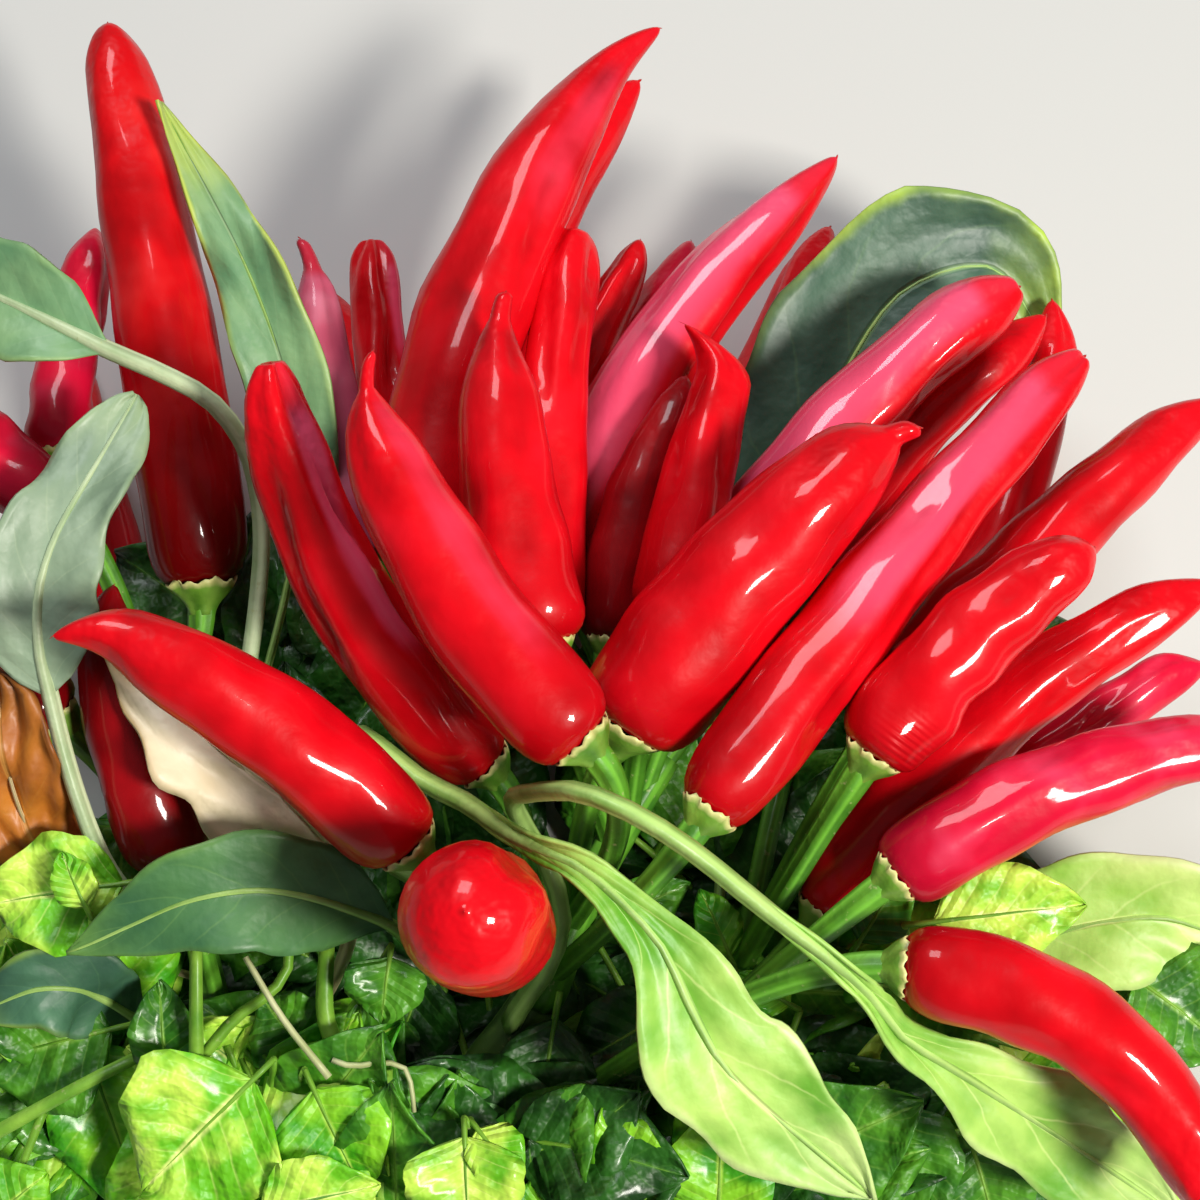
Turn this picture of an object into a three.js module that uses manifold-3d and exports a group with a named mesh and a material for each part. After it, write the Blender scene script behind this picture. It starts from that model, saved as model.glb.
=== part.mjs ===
// A fruiting branch cut from a chilli pepper plant and laid on its back on the ground.
// A green stem forks into limbs. They end in crowded spurs, from which long stalks carry upright
// red chillies. Leaves on their own long stalks stand among the fruit, and leafy shoots fill the
// branch below and behind it.
//
// Sizes are in millimetres and angles in degrees. The branch is drawn as it grew, with places
// given as [right, up, toward the viewer], and the last lines lay the whole of it down.
import * as THREE from 'three';
import { mergeVertices } from 'three/addons/utils/BufferGeometryUtils.js';
import Module from 'manifold-3d';

const wasm = await Module();
wasm.setup();

// How the branch lies: its up direction is tipped back from the vertical by LAID_BACK, with the
// origin of the drawing GROUND_DROP above the ground.
const LAID_BACK = 75;
const GROUND_DROP = 48;

const JOINT_GAP = 0.35;
const TOUCH_GAP = 0.5;

// Limbs and the crowded spurs at their ends. Each grows from a share of the length of another, and
// goes through a bend to its head. girth is given at the foot and at the head.
const STEM_CUT = [-26, -103, -14.5];
const LIMBS = {
  main_stem: { way: [[-25, -94, -13.5], [-22, -84, -13]], girth: [9.4, 8.2] },
  limb_right: { on: 'main_stem', share: 1, way: [[-19, -70, -11], [-9, -55, -8]], girth: [7.6, 7] },
  limb_left: { on: 'main_stem', share: 0.5, way: [[-42, -86, -15], [-52, -66, -20]], girth: [5.6, 5] },
};
const SPURS = {
  right: { on: 'limb_right', share: 1, way: [[-2, -40, -11], [9, -22, -15]], girth: [6.6, 4.6] },
  left: { on: 'limb_left', share: 1, way: [[-57, -50, -22], [-63, -24, -24]], girth: [4.8, 3.8] },
  far_right: { on: 'limb_right', share: 0.3, way: [[5, -68, -12], [21, -48, -9]], girth: [4.4, 3.8] },
};

const STALK_GIRTH = 3.4;
const STALK_REACH = 28;
const STALK_SAG = 0.08;
const STALK_LEAD = 0.25;
const CALYX_SHARE = 0.6;
const CALYX_LENGTH = 4.5;
const CUP_HOLLOW = 0.8;
const STALK_SIDES = 6;

// A chilli's radius along its length, as shares of its length and of half its girth.
const CHILLI_PROFILE = [
  [0, 0.55], [0.05, 0.88], [0.18, 1], [0.38, 0.98], [0.57, 0.91],
  [0.72, 0.78], [0.84, 0.61], [0.93, 0.41], [0.98, 0.22],
];
const CHILLI_NIB = 0.02;
const CHILLI_SIDES = 8;

// Chillies of each spur: the places of butt and tip, the girth, and the bow, which is how far
// the middle stands out to the left of the line from butt to tip.
const CHILLIES = {
  right: [
    { name: 'chilli_front_low_left', butt: [-24, -31, 16], tip: [-64, -1, 30], girth: 13, bow: -2.5 },
    { name: 'chilli_front_left', butt: [-15, -22, 2], tip: [-42, 31, 17], girth: 11.8, bow: 5.5 },
    { name: 'chilli_front_middle', butt: [-2, -17, 30], tip: [-30, 29, 30], girth: 12.8, bow: 3.6 },
    { name: 'chilli_tall', butt: [-23, 5, 0], tip: [7, 82, -18], girth: 15.4, bow: 7 },
    { name: 'chilli_upright', butt: [-7, -6, 14], tip: [-13, 40, 8], girth: 12.2, bow: 2.2 },
    { name: 'chilli_blunt', butt: [-6, -5, 0], tip: [-3, 52, -12], girth: 10, bow: 1.7 },
    { name: 'chilli_long_pink', butt: [-5, -1, -14], tip: [35, 62, -22], girth: 12.4, bow: 7 },
    { name: 'chilli_behind_pink', butt: [-4, 6, -30], tip: [15, 53, -38], girth: 10.5, bow: 4 },
    { name: 'chilli_curled', butt: [10, -3, 0], tip: [19, 35, -4], girth: 10.2, bow: 0 },
    { name: 'chilli_inner', butt: [0, -5, -6], tip: [12, 30, -10], girth: 9.5, bow: 2.5 },
    { name: 'chilli_upper_right', butt: [15, 1, -4], tip: [58, 44, -10], girth: 12.2, bow: 4 },
    { name: 'chilli_front_stout', butt: [4, -17, 16], tip: [39, 23, 18], girth: 15.8, bow: 1.5 },
    { name: 'chilli_front_long', butt: [13, -26, 24], tip: [64, 33, 4], girth: 11.8, bow: 1.5 },
    { name: 'chilli_right_tucked', butt: [29, 6, -14], tip: [63, 39, -16], girth: 10.5, bow: 3 },
    { name: 'chilli_end_on', butt: [-15.6, -40, 13], tip: [-15.2, -34.4, 50], girth: 17.4, bow: 0 },
    { name: 'chilli_behind_tall', butt: [-19, 14, -24], tip: [5, 78, -36], girth: 11, bow: 5 },
    { name: 'chilli_back_short', butt: [-6, 17, -26], tip: [7, 52, -30], girth: 8.5, bow: 2 },
    { name: 'chilli_left_mauve', butt: [-33, 6, -22], tip: [-41, 52, -24], girth: 8.6, bow: 2 },
    { name: 'chilli_left_back', butt: [-28, 9, -26], tip: [-34, 54, -34], girth: 8.8, bow: 1 },
    { name: 'chilli_rear_left', butt: [-14, 4, -36], tip: [-44, 50, -59], girth: 11, bow: 2 },
    { name: 'chilli_rear_middle', butt: [0, 10, -42], tip: [-10, 64, -62], girth: 12, bow: 0 },
    { name: 'chilli_rear_right', butt: [12, 8, -38], tip: [36, 60, -61], girth: 12, bow: -2 },
  ],
  far_right: [
    { name: 'chilli_right_slim', butt: [47, -6, -16], tip: [66, 43, -24], girth: 8.8, bow: -3.5 },
    { name: 'chilli_ridged', butt: [33, -19, 18], tip: [61, 7, 20], girth: 12.4, bow: 2 },
    { name: 'chilli_right_long', butt: [40, -12, 2], tip: [84, 28, -6], girth: 11.5, bow: 1 },
    { name: 'chilli_right_arched', butt: [29, -41, 4], tip: [80, 2, 6], girth: 11.6, bow: 5 },
    { name: 'chilli_right_level', butt: [37, -35, 16], tip: [83, -18, 14], girth: 11.3, bow: 3.5 },
    { name: 'chilli_drooping', butt: [37, -45, 24], tip: [75, -76, 30], girth: 11.8, bow: 8.5 },
    { name: 'chilli_right_small', butt: [53, -28, -10], tip: [83, -8, -10], girth: 8.4, bow: 1 },
    { name: 'chilli_rear_far_right', butt: [34, -8, -30], tip: [70, 24, -52], girth: 11, bow: 2 },
  ],
  left: [
    { name: 'chilli_left_tall', butt: [-56, 2, -16], tip: [-70, 82, -20], girth: 14.6, bow: -1 },
    { name: 'chilli_left_rose', butt: [-76, 20, -14], tip: [-73, 54, -28], girth: 9, bow: 1 },
    { name: 'chilli_left_edge', butt: [-74, 13, -6], tip: [-98, 38, -8], girth: 10.4, bow: 2 },
    { name: 'chilli_left_shaded', butt: [-72, -16, -4], tip: [-94, 8, 0], girth: 12, bow: 2 },
    { name: 'chilli_left_dark', butt: [-59, -36, -4], tip: [-69, 1, -2], girth: 12.4, bow: 1 },
    { name: 'chilli_rear_far_left', butt: [-70, -4, -34], tip: [-86, 44, -57], girth: 11, bow: 1 },
  ],
};

// Single leaves: the way of the midrib from the limb to the tip, the blade's width, the share of
// the way where stalk turns to blade, and how steeply the two halves fold up.
const LEAVES = [
  { name: 'leaf_grey_left', way: [[-59, -43, -20], [-65, -36, 2], [-71, -14, 8], [-72, 1, 10],
    [-61, 27, 4]], width: 14, blade: 0.55, fold: 0.3, colour: 'underside' },
  { name: 'leaf_tall_left', way: [[-39, -17, -26], [-42, 17, -18], [-48, 43, -14], [-61, 69, -12]],
    width: 14, blade: 0.36, fold: 0.5, colour: 'leaf' },
  { name: 'leaf_left_edge', way: [[-38, -6, -20], [-46, 11, -6], [-50, 25, 3], [-65, 33, 6],
    [-80, 40, 3], [-97, 47, -5]], width: 15, blade: 0.7, fold: 0.2, colour: 'leaf' },
  { name: 'leaf_broad_back', way: [[18, -50, -10], [19, -30, -28], [27, 0, -31], [31, 22, -29],
    [41, 41, -27], [53, 50, -26], [67, 36, -29]], width: 28, blade: 0.42, fold: 0.15, colour: 'leaf' },
  { name: 'leaf_cream', way: [[-40, -60, -17], [-34, -46, -6], [-36, -32, 1], [-48, -21, 5],
    [-65, -5, 8]], width: 18, blade: 0.44, fold: 0.2, colour: 'cream' },
  { name: 'leaf_rust', way: [[-67, -42, -12], [-75, -33, 0], [-78, -20, 7], [-79, -9, 9]],
    width: 15, blade: 0.36, fold: 0.5, colour: 'rust' },
  { name: 'leaf_dark_left', way: [[-8, -53, -10], [-20, -52, -10], [-28, -43, 2], [-46, -37, 14],
    [-68, -45, 13]], width: 15.5, blade: 0.38, fold: 0.12, colour: 'leaf' },
  { name: 'leaf_blue_left', way: [[-56, -65, -18], [-65, -55, -4], [-72, -51, 4], [-84, -55, 4]],
    width: 12.5, blade: 0.4, fold: 0.15, colour: 'leaf' },
  { name: 'leaf_arching', way: [[-8, -53, -9], [-28, -36, -3], [-34, -20, 0], [-32, -17, 7],
    [-25, -22.5, 10.5], [-19, -25, 13], [-14, -28, 18], [-7.5, -30.5, 26], [-1.5, -33, 30],
    [8, -43, 29], [14, -56, 26], [34, -75, 20]], width: 15.5, blade: 0.66, fold: 0.35, colour: 'pale' },
  { name: 'leaf_trailing', way: [[-8, -54, -8], [-5, -44, 6], [-7, -34, 8], [-11, -27, 10.5],
    [-8.5, -23.5, 25], [0, -23, 38], [9, -28, 38], [20, -37, 34], [31.5, -46.5, 29], [36.5, -53, 24],
    [45, -59.5, 18], [58, -68.5, 11], [76, -81, 5]], width: 14, blade: 0.7, fold: 0.35, colour: 'pale' },
  { name: 'leaf_pale_right', way: [[22, -54, -14], [46, -52, -12], [63, -45, -6], [76, -43, -4],
    [94, -51, -8]], width: 19, blade: 0.42, fold: 0.15, colour: 'pale' },
];
const LEAF_STALK_GIRTH = 2.3;
const LEAF_THICKNESS = 1.1;
const LEAF_OUTLINE = [
  [0, 0.12], [0.12, 0.5], [0.3, 0.95], [0.45, 1], [0.62, 0.84], [0.8, 0.5], [0.93, 0.2], [1, 0.05],
];
const LEAF_WAVE = 0.9;
const LEAF_WAVES = 9;
const PETIOLE_STEP = 8;

// Masses of leafy shoots: the limb and the share of its length where the stem of the mass starts,
// where that stem ends, and the half-size of the space round its end that the mass keeps to.
const MASSES = [
  { name: 'foliage_low_left', on: 'limb_left', share: 0.6, heart: [-46, -74, -4], reach: [20, 20, 18] },
  { name: 'foliage_far_left', on: 'limb_left', share: 0.9, heart: [-76, -60, -10], reach: [19, 27, 20] },
  { name: 'foliage_low_middle', on: 'main_stem', share: 0.45, heart: [-10, -80, 6], reach: [22, 18, 14] },
  { name: 'foliage_far_right', on: 'far_right', share: 0.25, heart: [60, -68, -18], reach: [32, 26, 20] },
  { name: 'foliage_low_right', on: 'main_stem', share: 0.75, heart: [24, -80, -8], reach: [24, 18, 18] },
  { name: 'foliage_rear_left', on: 'limb_left', share: 0.8, heart: [-42, -25, -33], reach: [34, 38, 15] },
  { name: 'foliage_rear_right', on: 'far_right', share: 0.75, heart: [34, -23, -35], reach: [34, 38, 15] },
];
const SHOOTS = 6;
const SHOOT_REACH = [0.35, 0.65];
const TWIG_GIRTH = 2.4;
const TWIG_RISE = 1.5;
const LEAVES_A_SHOOT = 3;
const SHOOT_LEAF = { length: 31, width: 18, blade: 0.25, fold: 0.18 };
const LEAF_SIZES = [0.8, 1.2];
const LEAF_ARCH = [0, 2, 2];
const SEED = 11;

const COLOURS = {
  ripe: 0xd90a14,
  stalk: 0x4f8a1e,
  stem: 0x4c7d24,
  leaf: 0x47724a,
  underside: 0x8fa58c,
  pale: 0x9cc26a,
  fresh: 0x6fb61f,
  cream: 0xdccb98,
  rust: 0xc0701c,
};

// A place given as [right, up, toward the viewer], in the drawing's own axes.
const at = ([right, up, toward]) => new THREE.Vector3(right, -toward, up);

const radians = THREE.MathUtils.degToRad;

// Which way is up once the branch is laid down, and how high a place is above the ground.
const SKYWARD = new THREE.Vector3(0, -Math.sin(radians(LAID_BACK)), Math.cos(radians(LAID_BACK)));
const heightOf = (place) => GROUND_DROP + place.dot(SKYWARD);

// The value at t in a list of [position, value] pairs, along straight lines between them.
function along(pairs, t) {
  const next = pairs.findIndex(([position]) => position >= t);
  if (next < 0) return pairs.at(-1)[1];
  if (next === 0) return pairs[0][1];
  const [[t0, v0], [t1, v1]] = [pairs[next - 1], pairs[next]];
  return v0 + ((v1 - v0) * (t - t0)) / (t1 - t0);
}

const evenly = (count) => Array.from({ length: count }, (_, i) => i / (count - 1));

// A square-set frame at each station of a curve. It turns no more than the curve does, from its
// last side back to the first, but where a station is past facedFrom its up is turned to upper.
function framesAlong(curve, stations, upper, facedFrom = Infinity) {
  const side = curve.getTangent(1).cross(upper);
  return stations.toReversed().map((t) => {
    const ahead = curve.getTangent(t);
    if (t >= facedFrom) side.copy(ahead).cross(upper);
    side.addScaledVector(ahead, -side.dot(ahead)).normalize();
    return { t, centre: curve.getPoint(t), ahead, side: side.clone(), up: side.clone().cross(ahead) };
  }).reverse();
}

// A closed skin over the frames of a curve. It starts as a plain cylinder, whose points move to
// the places that section gives as [across, up] for each station and each direction round it.
// cap is how far the middle of each end stands out past its ring.
function skin(frames, sides, section, cap) {
  const rows = frames.length - 1;
  const shape = new THREE.CylinderGeometry(1, 1, rows, sides, rows);
  shape.deleteAttribute('normal');
  shape.deleteAttribute('uv');
  const points = shape.getAttribute('position');
  const point = new THREE.Vector3();
  for (let i = 0; i < points.count; i += 1) {
    point.fromBufferAttribute(points, i);
    const row = Math.round(point.y + rows / 2);
    const { t, centre, ahead, side, up } = frames[row];
    const onRim = Math.hypot(point.x, point.z) > 0.5;
    const [across, deep] = onRim ? section(t, Math.atan2(point.z, point.x)) : section(t, null);
    point.copy(centre).addScaledVector(side, across).addScaledVector(up, deep);
    if (!onRim) point.addScaledVector(ahead, row === 0 ? -cap[0] : cap[1]);
    points.setXYZ(i, point.x, point.y, point.z);
  }
  return mergeVertices(shape, 1e-4);
}

const ASKEW = new THREE.Vector3(0.31, 0.9, 0.3);

function tube(curve, stations, radiusAt, sides, cap = [0.3, 0.3]) {
  const frames = framesAlong(curve, stations, ASKEW);
  const section = (t, angle) => (angle === null ? [0, 0]
    : [radiusAt(t) * Math.cos(angle), radiusAt(t) * Math.sin(angle)]);
  return skin(frames, sides, section, cap);
}

// Room taken up so far, as balls, so that later pieces can keep clear.
const taken = [];
const CLASH_REACH = 20;

function clash(balls, others) {
  const around = new THREE.Box3().setFromPoints(balls.map(({ centre }) => centre));
  around.expandByScalar(CLASH_REACH);
  let worst = null;
  for (const other of others.filter(({ centre }) => around.containsPoint(centre))) {
    for (const ball of balls) {
      const reach = ball.radius + other.radius + TOUCH_GAP;
      const apart = ball.centre.distanceToSquared(other.centre);
      if (apart < reach * reach) {
        const depth = reach - Math.sqrt(apart);
        if (!worst || depth > worst.depth) worst = { depth, ball, other };
      }
    }
  }
  return worst;
}

const aboveGround = (balls) => balls.every(({ centre, radius }) => heightOf(centre) >= radius);

const ballsAlong = (curve, count, radiusAt) => evenly(count).map(
  (t) => ({ t, centre: curve.getPoint(t), radius: radiusAt(t) }),
);

// Where something grows out of a limb: just clear of its skin, on the side that faces heading,
// or just past its head where share is 1.
function budOn({ curve, radiusAt }, share, heading) {
  const centre = curve.getPoint(share);
  const ahead = curve.getTangent(share);
  if (share === 1) return { place: centre.addScaledVector(ahead, JOINT_GAP), out: ahead };
  const out = heading.clone().sub(centre);
  out.addScaledVector(ahead, -out.dot(ahead)).normalize();
  return { place: centre.addScaledVector(out, radiusAt(share) + JOINT_GAP), out };
}

const GROWTH_STEP = 2;

// A curve that leaves a bud squarely and then goes evenly through the given places.
function growthFrom({ place, out }, places) {
  const lead = [0, 1.2, 2.4].map((reach) => place.clone().addScaledVector(out, reach));
  const rough = new THREE.CatmullRomCurve3([...lead, ...places]);
  return new THREE.CatmullRomCurve3(rough.getSpacedPoints(Math.ceil(rough.getLength() / GROWTH_STEP)));
}

// Limbs and spurs, in the order in which they grow from each other.
const limbs = {};

function growLimb(name, { on, share, way, girth }) {
  const places = way.map(at);
  const curve = on ? growthFrom(budOn(limbs[on], share, places[0]), places)
    : new THREE.CatmullRomCurve3([at(STEM_CUT), ...places]);
  const radiusAt = (t) => THREE.MathUtils.lerp(girth[0], girth[1], t) / 2;
  limbs[name] = { name, curve, radiusAt };
  taken.push(...ballsAlong(curve, 30, radiusAt).map((ball) => ({ ...ball, owner: name })));
}

for (const [name, limb] of [...Object.entries(LIMBS), ...Object.entries(SPURS)]) growLimb(name, limb);

// The line down the middle of a chilli, and its radius along that line.
function chilliLine({ butt, tip, bow }) {
  const chord = tip.clone().sub(butt);
  const leftOf = new THREE.Vector3(-chord.z, 0, chord.x).normalize();
  const middle = butt.clone().addScaledVector(chord, 0.5).addScaledVector(leftOf, 2 * bow);
  return new THREE.QuadraticBezierCurve3(butt, middle, tip);
}

const chilliRadius = ({ girth }, t) => (girth / 2) * along(CHILLI_PROFILE, Math.min(t, 0.97));

const chilliBalls = (fruit, count) => ballsAlong(chilliLine(fruit), count, (t) => chilliRadius(fruit, t));

// The line of a fruit's stalk, which leaves the spur below the fruit and comes up into its butt.
function stalkLine({ spur, ...fruit }) {
  const into = chilliLine(fruit).getTangent(0);
  const [foot, head] = [spur.curve.getPoint(0), spur.curve.getPoint(1)];
  const level = (fruit.butt.z - STALK_REACH - foot.z) / (head.z - foot.z);
  const start = spur.curve.getPoint(THREE.MathUtils.clamp(level, 0.1, 0.95));
  const end = fruit.butt.clone().addScaledVector(into, -JOINT_GAP);
  const span = start.distanceTo(end);
  const leaving = start.clone().lerp(end, 0.35).addScaledVector(into, -STALK_SAG * span);
  const arriving = end.clone().addScaledVector(into, -STALK_LEAD * span);
  return new THREE.CubicBezierCurve3(start, leaving, arriving, end);
}

// The radius of a stalk, which swells into the green cup under the fruit.
function stalkShape(fruit) {
  const curve = stalkLine(fruit);
  const neck = 1 - CALYX_LENGTH / curve.getLength();
  const cup = (CALYX_SHARE * fruit.girth) / 2;
  const radii = [
    [0, STALK_GIRTH * 0.42], [neck * 0.5, STALK_GIRTH * 0.46], [neck, STALK_GIRTH * 0.6],
    [(1 + neck) / 2, cup * 0.82], [1, cup],
  ];
  return { curve, neck, radiusAt: (t) => along(radii, t) };
}

function stalkBalls(fruit) {
  const { curve, radiusAt } = stalkShape(fruit);
  return ballsAlong(curve, 20, radiusAt);
}

// Crowded fruit press each other aside. Where two meet, or one meets a stalk, a limb or the
// ground, butt and tip shift until all are clear, mostly toward the viewer or away, because that
// is where the room is.
const SETTLE_ROUNDS = 160;
const DEPTH_EASE = 1.8;

function shift(fruit, t, way) {
  const share = 1 / ((1 - t) ** 2 + t ** 2);
  fruit.butt.addScaledVector(way, (1 - t) * share);
  fruit.tip.addScaledVector(way, t * share);
}

function partingWay({ depth, ball, other }) {
  const way = ball.centre.clone().sub(other.centre);
  way.y *= DEPTH_EASE;
  return way.normalize().multiplyScalar(depth);
}

function settle(fruits) {
  const wood = [...taken];
  for (let round = 0; round < SETTLE_ROUNDS; round += 1) {
    fruits.forEach((fruit, i) => {
      fruits.slice(i + 1).forEach((other) => {
        const meeting = clash(chilliBalls(fruit, 11), chilliBalls(other, 11));
        if (!meeting) return;
        const way = partingWay(meeting);
        shift(fruit, meeting.ball.t, way.clone().multiplyScalar(0.5));
        shift(other, meeting.other.t, way.multiplyScalar(-0.5));
      });
      const stalks = fruits.filter((other) => other !== fruit).flatMap(stalkBalls);
      const blocked = clash(chilliBalls(fruit, 11), [...wood, ...stalks]);
      if (blocked) shift(fruit, blocked.ball.t, partingWay(blocked));
      for (const ball of chilliBalls(fruit, 11)) {
        const sunk = ball.radius - heightOf(ball.centre);
        if (sunk > 0) shift(fruit, ball.t, SKYWARD.clone().multiplyScalar(sunk));
      }
    });
  }
  return fruits;
}

const fruits = settle(Object.entries(CHILLIES).flatMap(([spur, rows]) => rows.map(
  (row) => ({ ...row, butt: at(row.butt), tip: at(row.tip), spur: limbs[spur] }),
)));
for (const fruit of fruits) taken.push(...chilliBalls(fruit, 25), ...stalkBalls(fruit));

function chilliSkin(fruit) {
  const stations = CHILLI_PROFILE.map(([t]) => t);
  const radiusAt = (t) => (fruit.girth / 2) * along(CHILLI_PROFILE, t);
  const nib = CHILLI_NIB * fruit.butt.distanceTo(fruit.tip);
  return tube(chilliLine(fruit), stations, radiusAt, CHILLI_SIDES, [0.3, nib]);
}

function stalkSkin(fruit) {
  const { curve, neck, radiusAt } = stalkShape(fruit);
  const stations = [...evenly(5).map((s) => s * neck), (1 + neck) / 2, 1];
  return tube(curve, stations, radiusAt, STALK_SIDES, [0.3, -CUP_HOLLOW]);
}

// A leaf on its midrib: a round stalk that flattens into a folded, wavy blade. upper is the
// direction that the blade's upper face looks.
function leafSection({ width, blade, fold }, wave, lengthwise) {
  return (t, angle) => {
    const s = (t - blade) / (1 - blade);
    const stalk = LEAF_STALK_GIRTH / 2;
    if (angle === null) return [0, 0];
    if (s < 0) return [stalk * Math.cos(angle), stalk * Math.sin(angle)];
    const half = Math.max((width / 2) * along(LEAF_OUTLINE, s), stalk * (1 - s) * 0.8);
    const thick = THREE.MathUtils.lerp(stalk, LEAF_THICKNESS / 2, Math.min(1, s * 3));
    const across = half * Math.cos(angle);
    const ripple = wave * Math.sin(lengthwise * s + 2 * Math.sign(across)) * (across / half) ** 2;
    return [across, thick * Math.sin(angle) + fold * Math.abs(across) + ripple * Math.min(1, s * 4)];
  };
}

const LEAF_BALL = 1.3;
const BALL_STEP = 2.2;

function leafBalls(curve, leaf, upper) {
  const section = leafSection(leaf, 0, 0);
  const stations = evenly(Math.ceil(curve.getLength() / BALL_STEP));
  return framesAlong(curve, stations, upper, leaf.blade).flatMap(({ t, centre, side, up }) => {
    const half = t < leaf.blade ? 0 : section(t, 0)[0] - LEAF_BALL / 2;
    const spread = half > LEAF_BALL ? evenly(2 * Math.ceil(half / BALL_STEP) + 1) : [0.5];
    return spread.map((share) => (2 * share - 1) * half).map((across) => ({
      centre: centre.clone().addScaledVector(side, across).addScaledVector(up, leaf.fold * Math.abs(across)),
      radius: LEAF_BALL,
    }));
  });
}

function leafSkin(curve, leaf, upper, sides, stations) {
  const wave = sides > 4 ? LEAF_WAVE : 0;
  const frames = framesAlong(curve, stations, upper, leaf.blade);
  return skin(frames, sides, leafSection(leaf, wave, LEAF_WAVES), [0, 0.6]);
}

// Stations of a leaf: one every PETIOLE_STEP of its stalk, then the given shares of its blade.
function leafStations(curve, blade, shares) {
  const stalk = evenly(Math.ceil((blade * curve.getLength()) / PETIOLE_STEP) + 1).slice(0, -1);
  return [...stalk.map((s) => s * blade), ...shares.map((s) => blade + (1 - blade) * s)];
}

const VIEWER = at([0, 0.25, 1]).normalize();

// Limbs and shares of their length near a place, the nearest first.
function budsNear(place) {
  return Object.values(limbs)
    .flatMap((limb) => evenly(21).slice(1, -1).map((share) => ({ limb, share })))
    .map((bud) => ({ ...bud, apart: bud.limb.curve.getPoint(bud.share).distanceTo(place) }))
    .sort((one, other) => one.apart - other.apart)
    .slice(0, 12);
}

// A single leaf keeps its place in the view. It takes the nearest bud, and slides toward the
// viewer or away, until it is clear of all else.
const SLIDES = [0, 1, -1, 2, -2, 3, -3, 4, -4, 5, -5, 6, -6, 8, -8, 10, -10];
const NEAR_BUD = 5;

function placeLeaf(leaf) {
  for (const slide of SLIDES) {
    const places = leaf.way.slice(1).map(([right, up, toward]) => at([right, up, toward + slide]));
    for (const { limb, share } of budsNear(at(leaf.way[0]))) {
      const bud = budOn(limb, share, places[0]);
      const curve = growthFrom(bud, places);
      const balls = leafBalls(curve, leaf, VIEWER);
      const others = taken.filter(({ owner }) => owner !== limb.name);
      const far = balls.filter(({ centre }) => centre.distanceTo(bud.place) > NEAR_BUD);
      if (!clash(balls, others) && !clash(far, taken) && aboveGround(balls)) {
        taken.push(...balls);
        return { ...leaf, curve };
      }
    }
  }
  throw new Error(`no room for ${leaf.name}`);
}

const leaves = LEAVES.map(placeLeaf);

function solid(geometry) {
  const mesh = new wasm.Mesh({
    numProp: 3,
    vertProperties: new Float32Array(geometry.getAttribute('position').array),
    triVerts: new Uint32Array(geometry.index.array),
  });
  return new wasm.Manifold(mesh);
}

function fused(geometries) {
  const whole = geometries.map(solid).reduce((sum, piece) => sum.add(piece)).getMesh();
  const geometry = new THREE.BufferGeometry();
  geometry.setAttribute('position', new THREE.BufferAttribute(whole.vertProperties, 3));
  geometry.setIndex(new THREE.BufferAttribute(whole.triVerts, 1));
  return geometry;
}

// Repeatable random numbers from 0 to 1.
function dice(seed) {
  let state = seed;
  return () => {
    state = (Math.imul(state, 1664525) + 1013904223) >>> 0;
    return state / 2 ** 32;
  };
}

// A mass of leafy shoots: a stem, shoots that leave it turned by the golden angle, and leaves in
// turn along each shoot. A shoot or leaf that would meet something, or leave the space of the
// mass, takes another heading, and is skipped when none is free.
const GOLDEN_TURN = 2.4;
const LEAF_TURN = 1.2;
const TRIES = 9;
const NEAR_ROOT = 5.5;
const STEM_LEAD = 0.4;
const STEM_STEPS = [0, 0.05, -0.05, 0.1, -0.1, 0.15, -0.15, 0.2, -0.2, 0.3, -0.3, 0.4, -0.4];

function massStem(mass, heart) {
  for (const step of STEM_STEPS) {
    const bud = budOn(limbs[mass.on], THREE.MathUtils.clamp(mass.share + step, 0.05, 0.95), heart);
    const leaving = bud.place.clone().addScaledVector(bud.out, STEM_LEAD * bud.place.distanceTo(heart));
    const stem = new THREE.QuadraticBezierCurve3(bud.place, leaving, heart);
    const balls = ballsAlong(stem, 24, () => TWIG_GIRTH * 0.7);
    if (!clash(balls, taken.filter(({ owner }) => owner !== mass.on))) {
      taken.push(...balls);
      return stem;
    }
  }
  throw new Error(`no room for the stem of ${mass.name}`);
}

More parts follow.
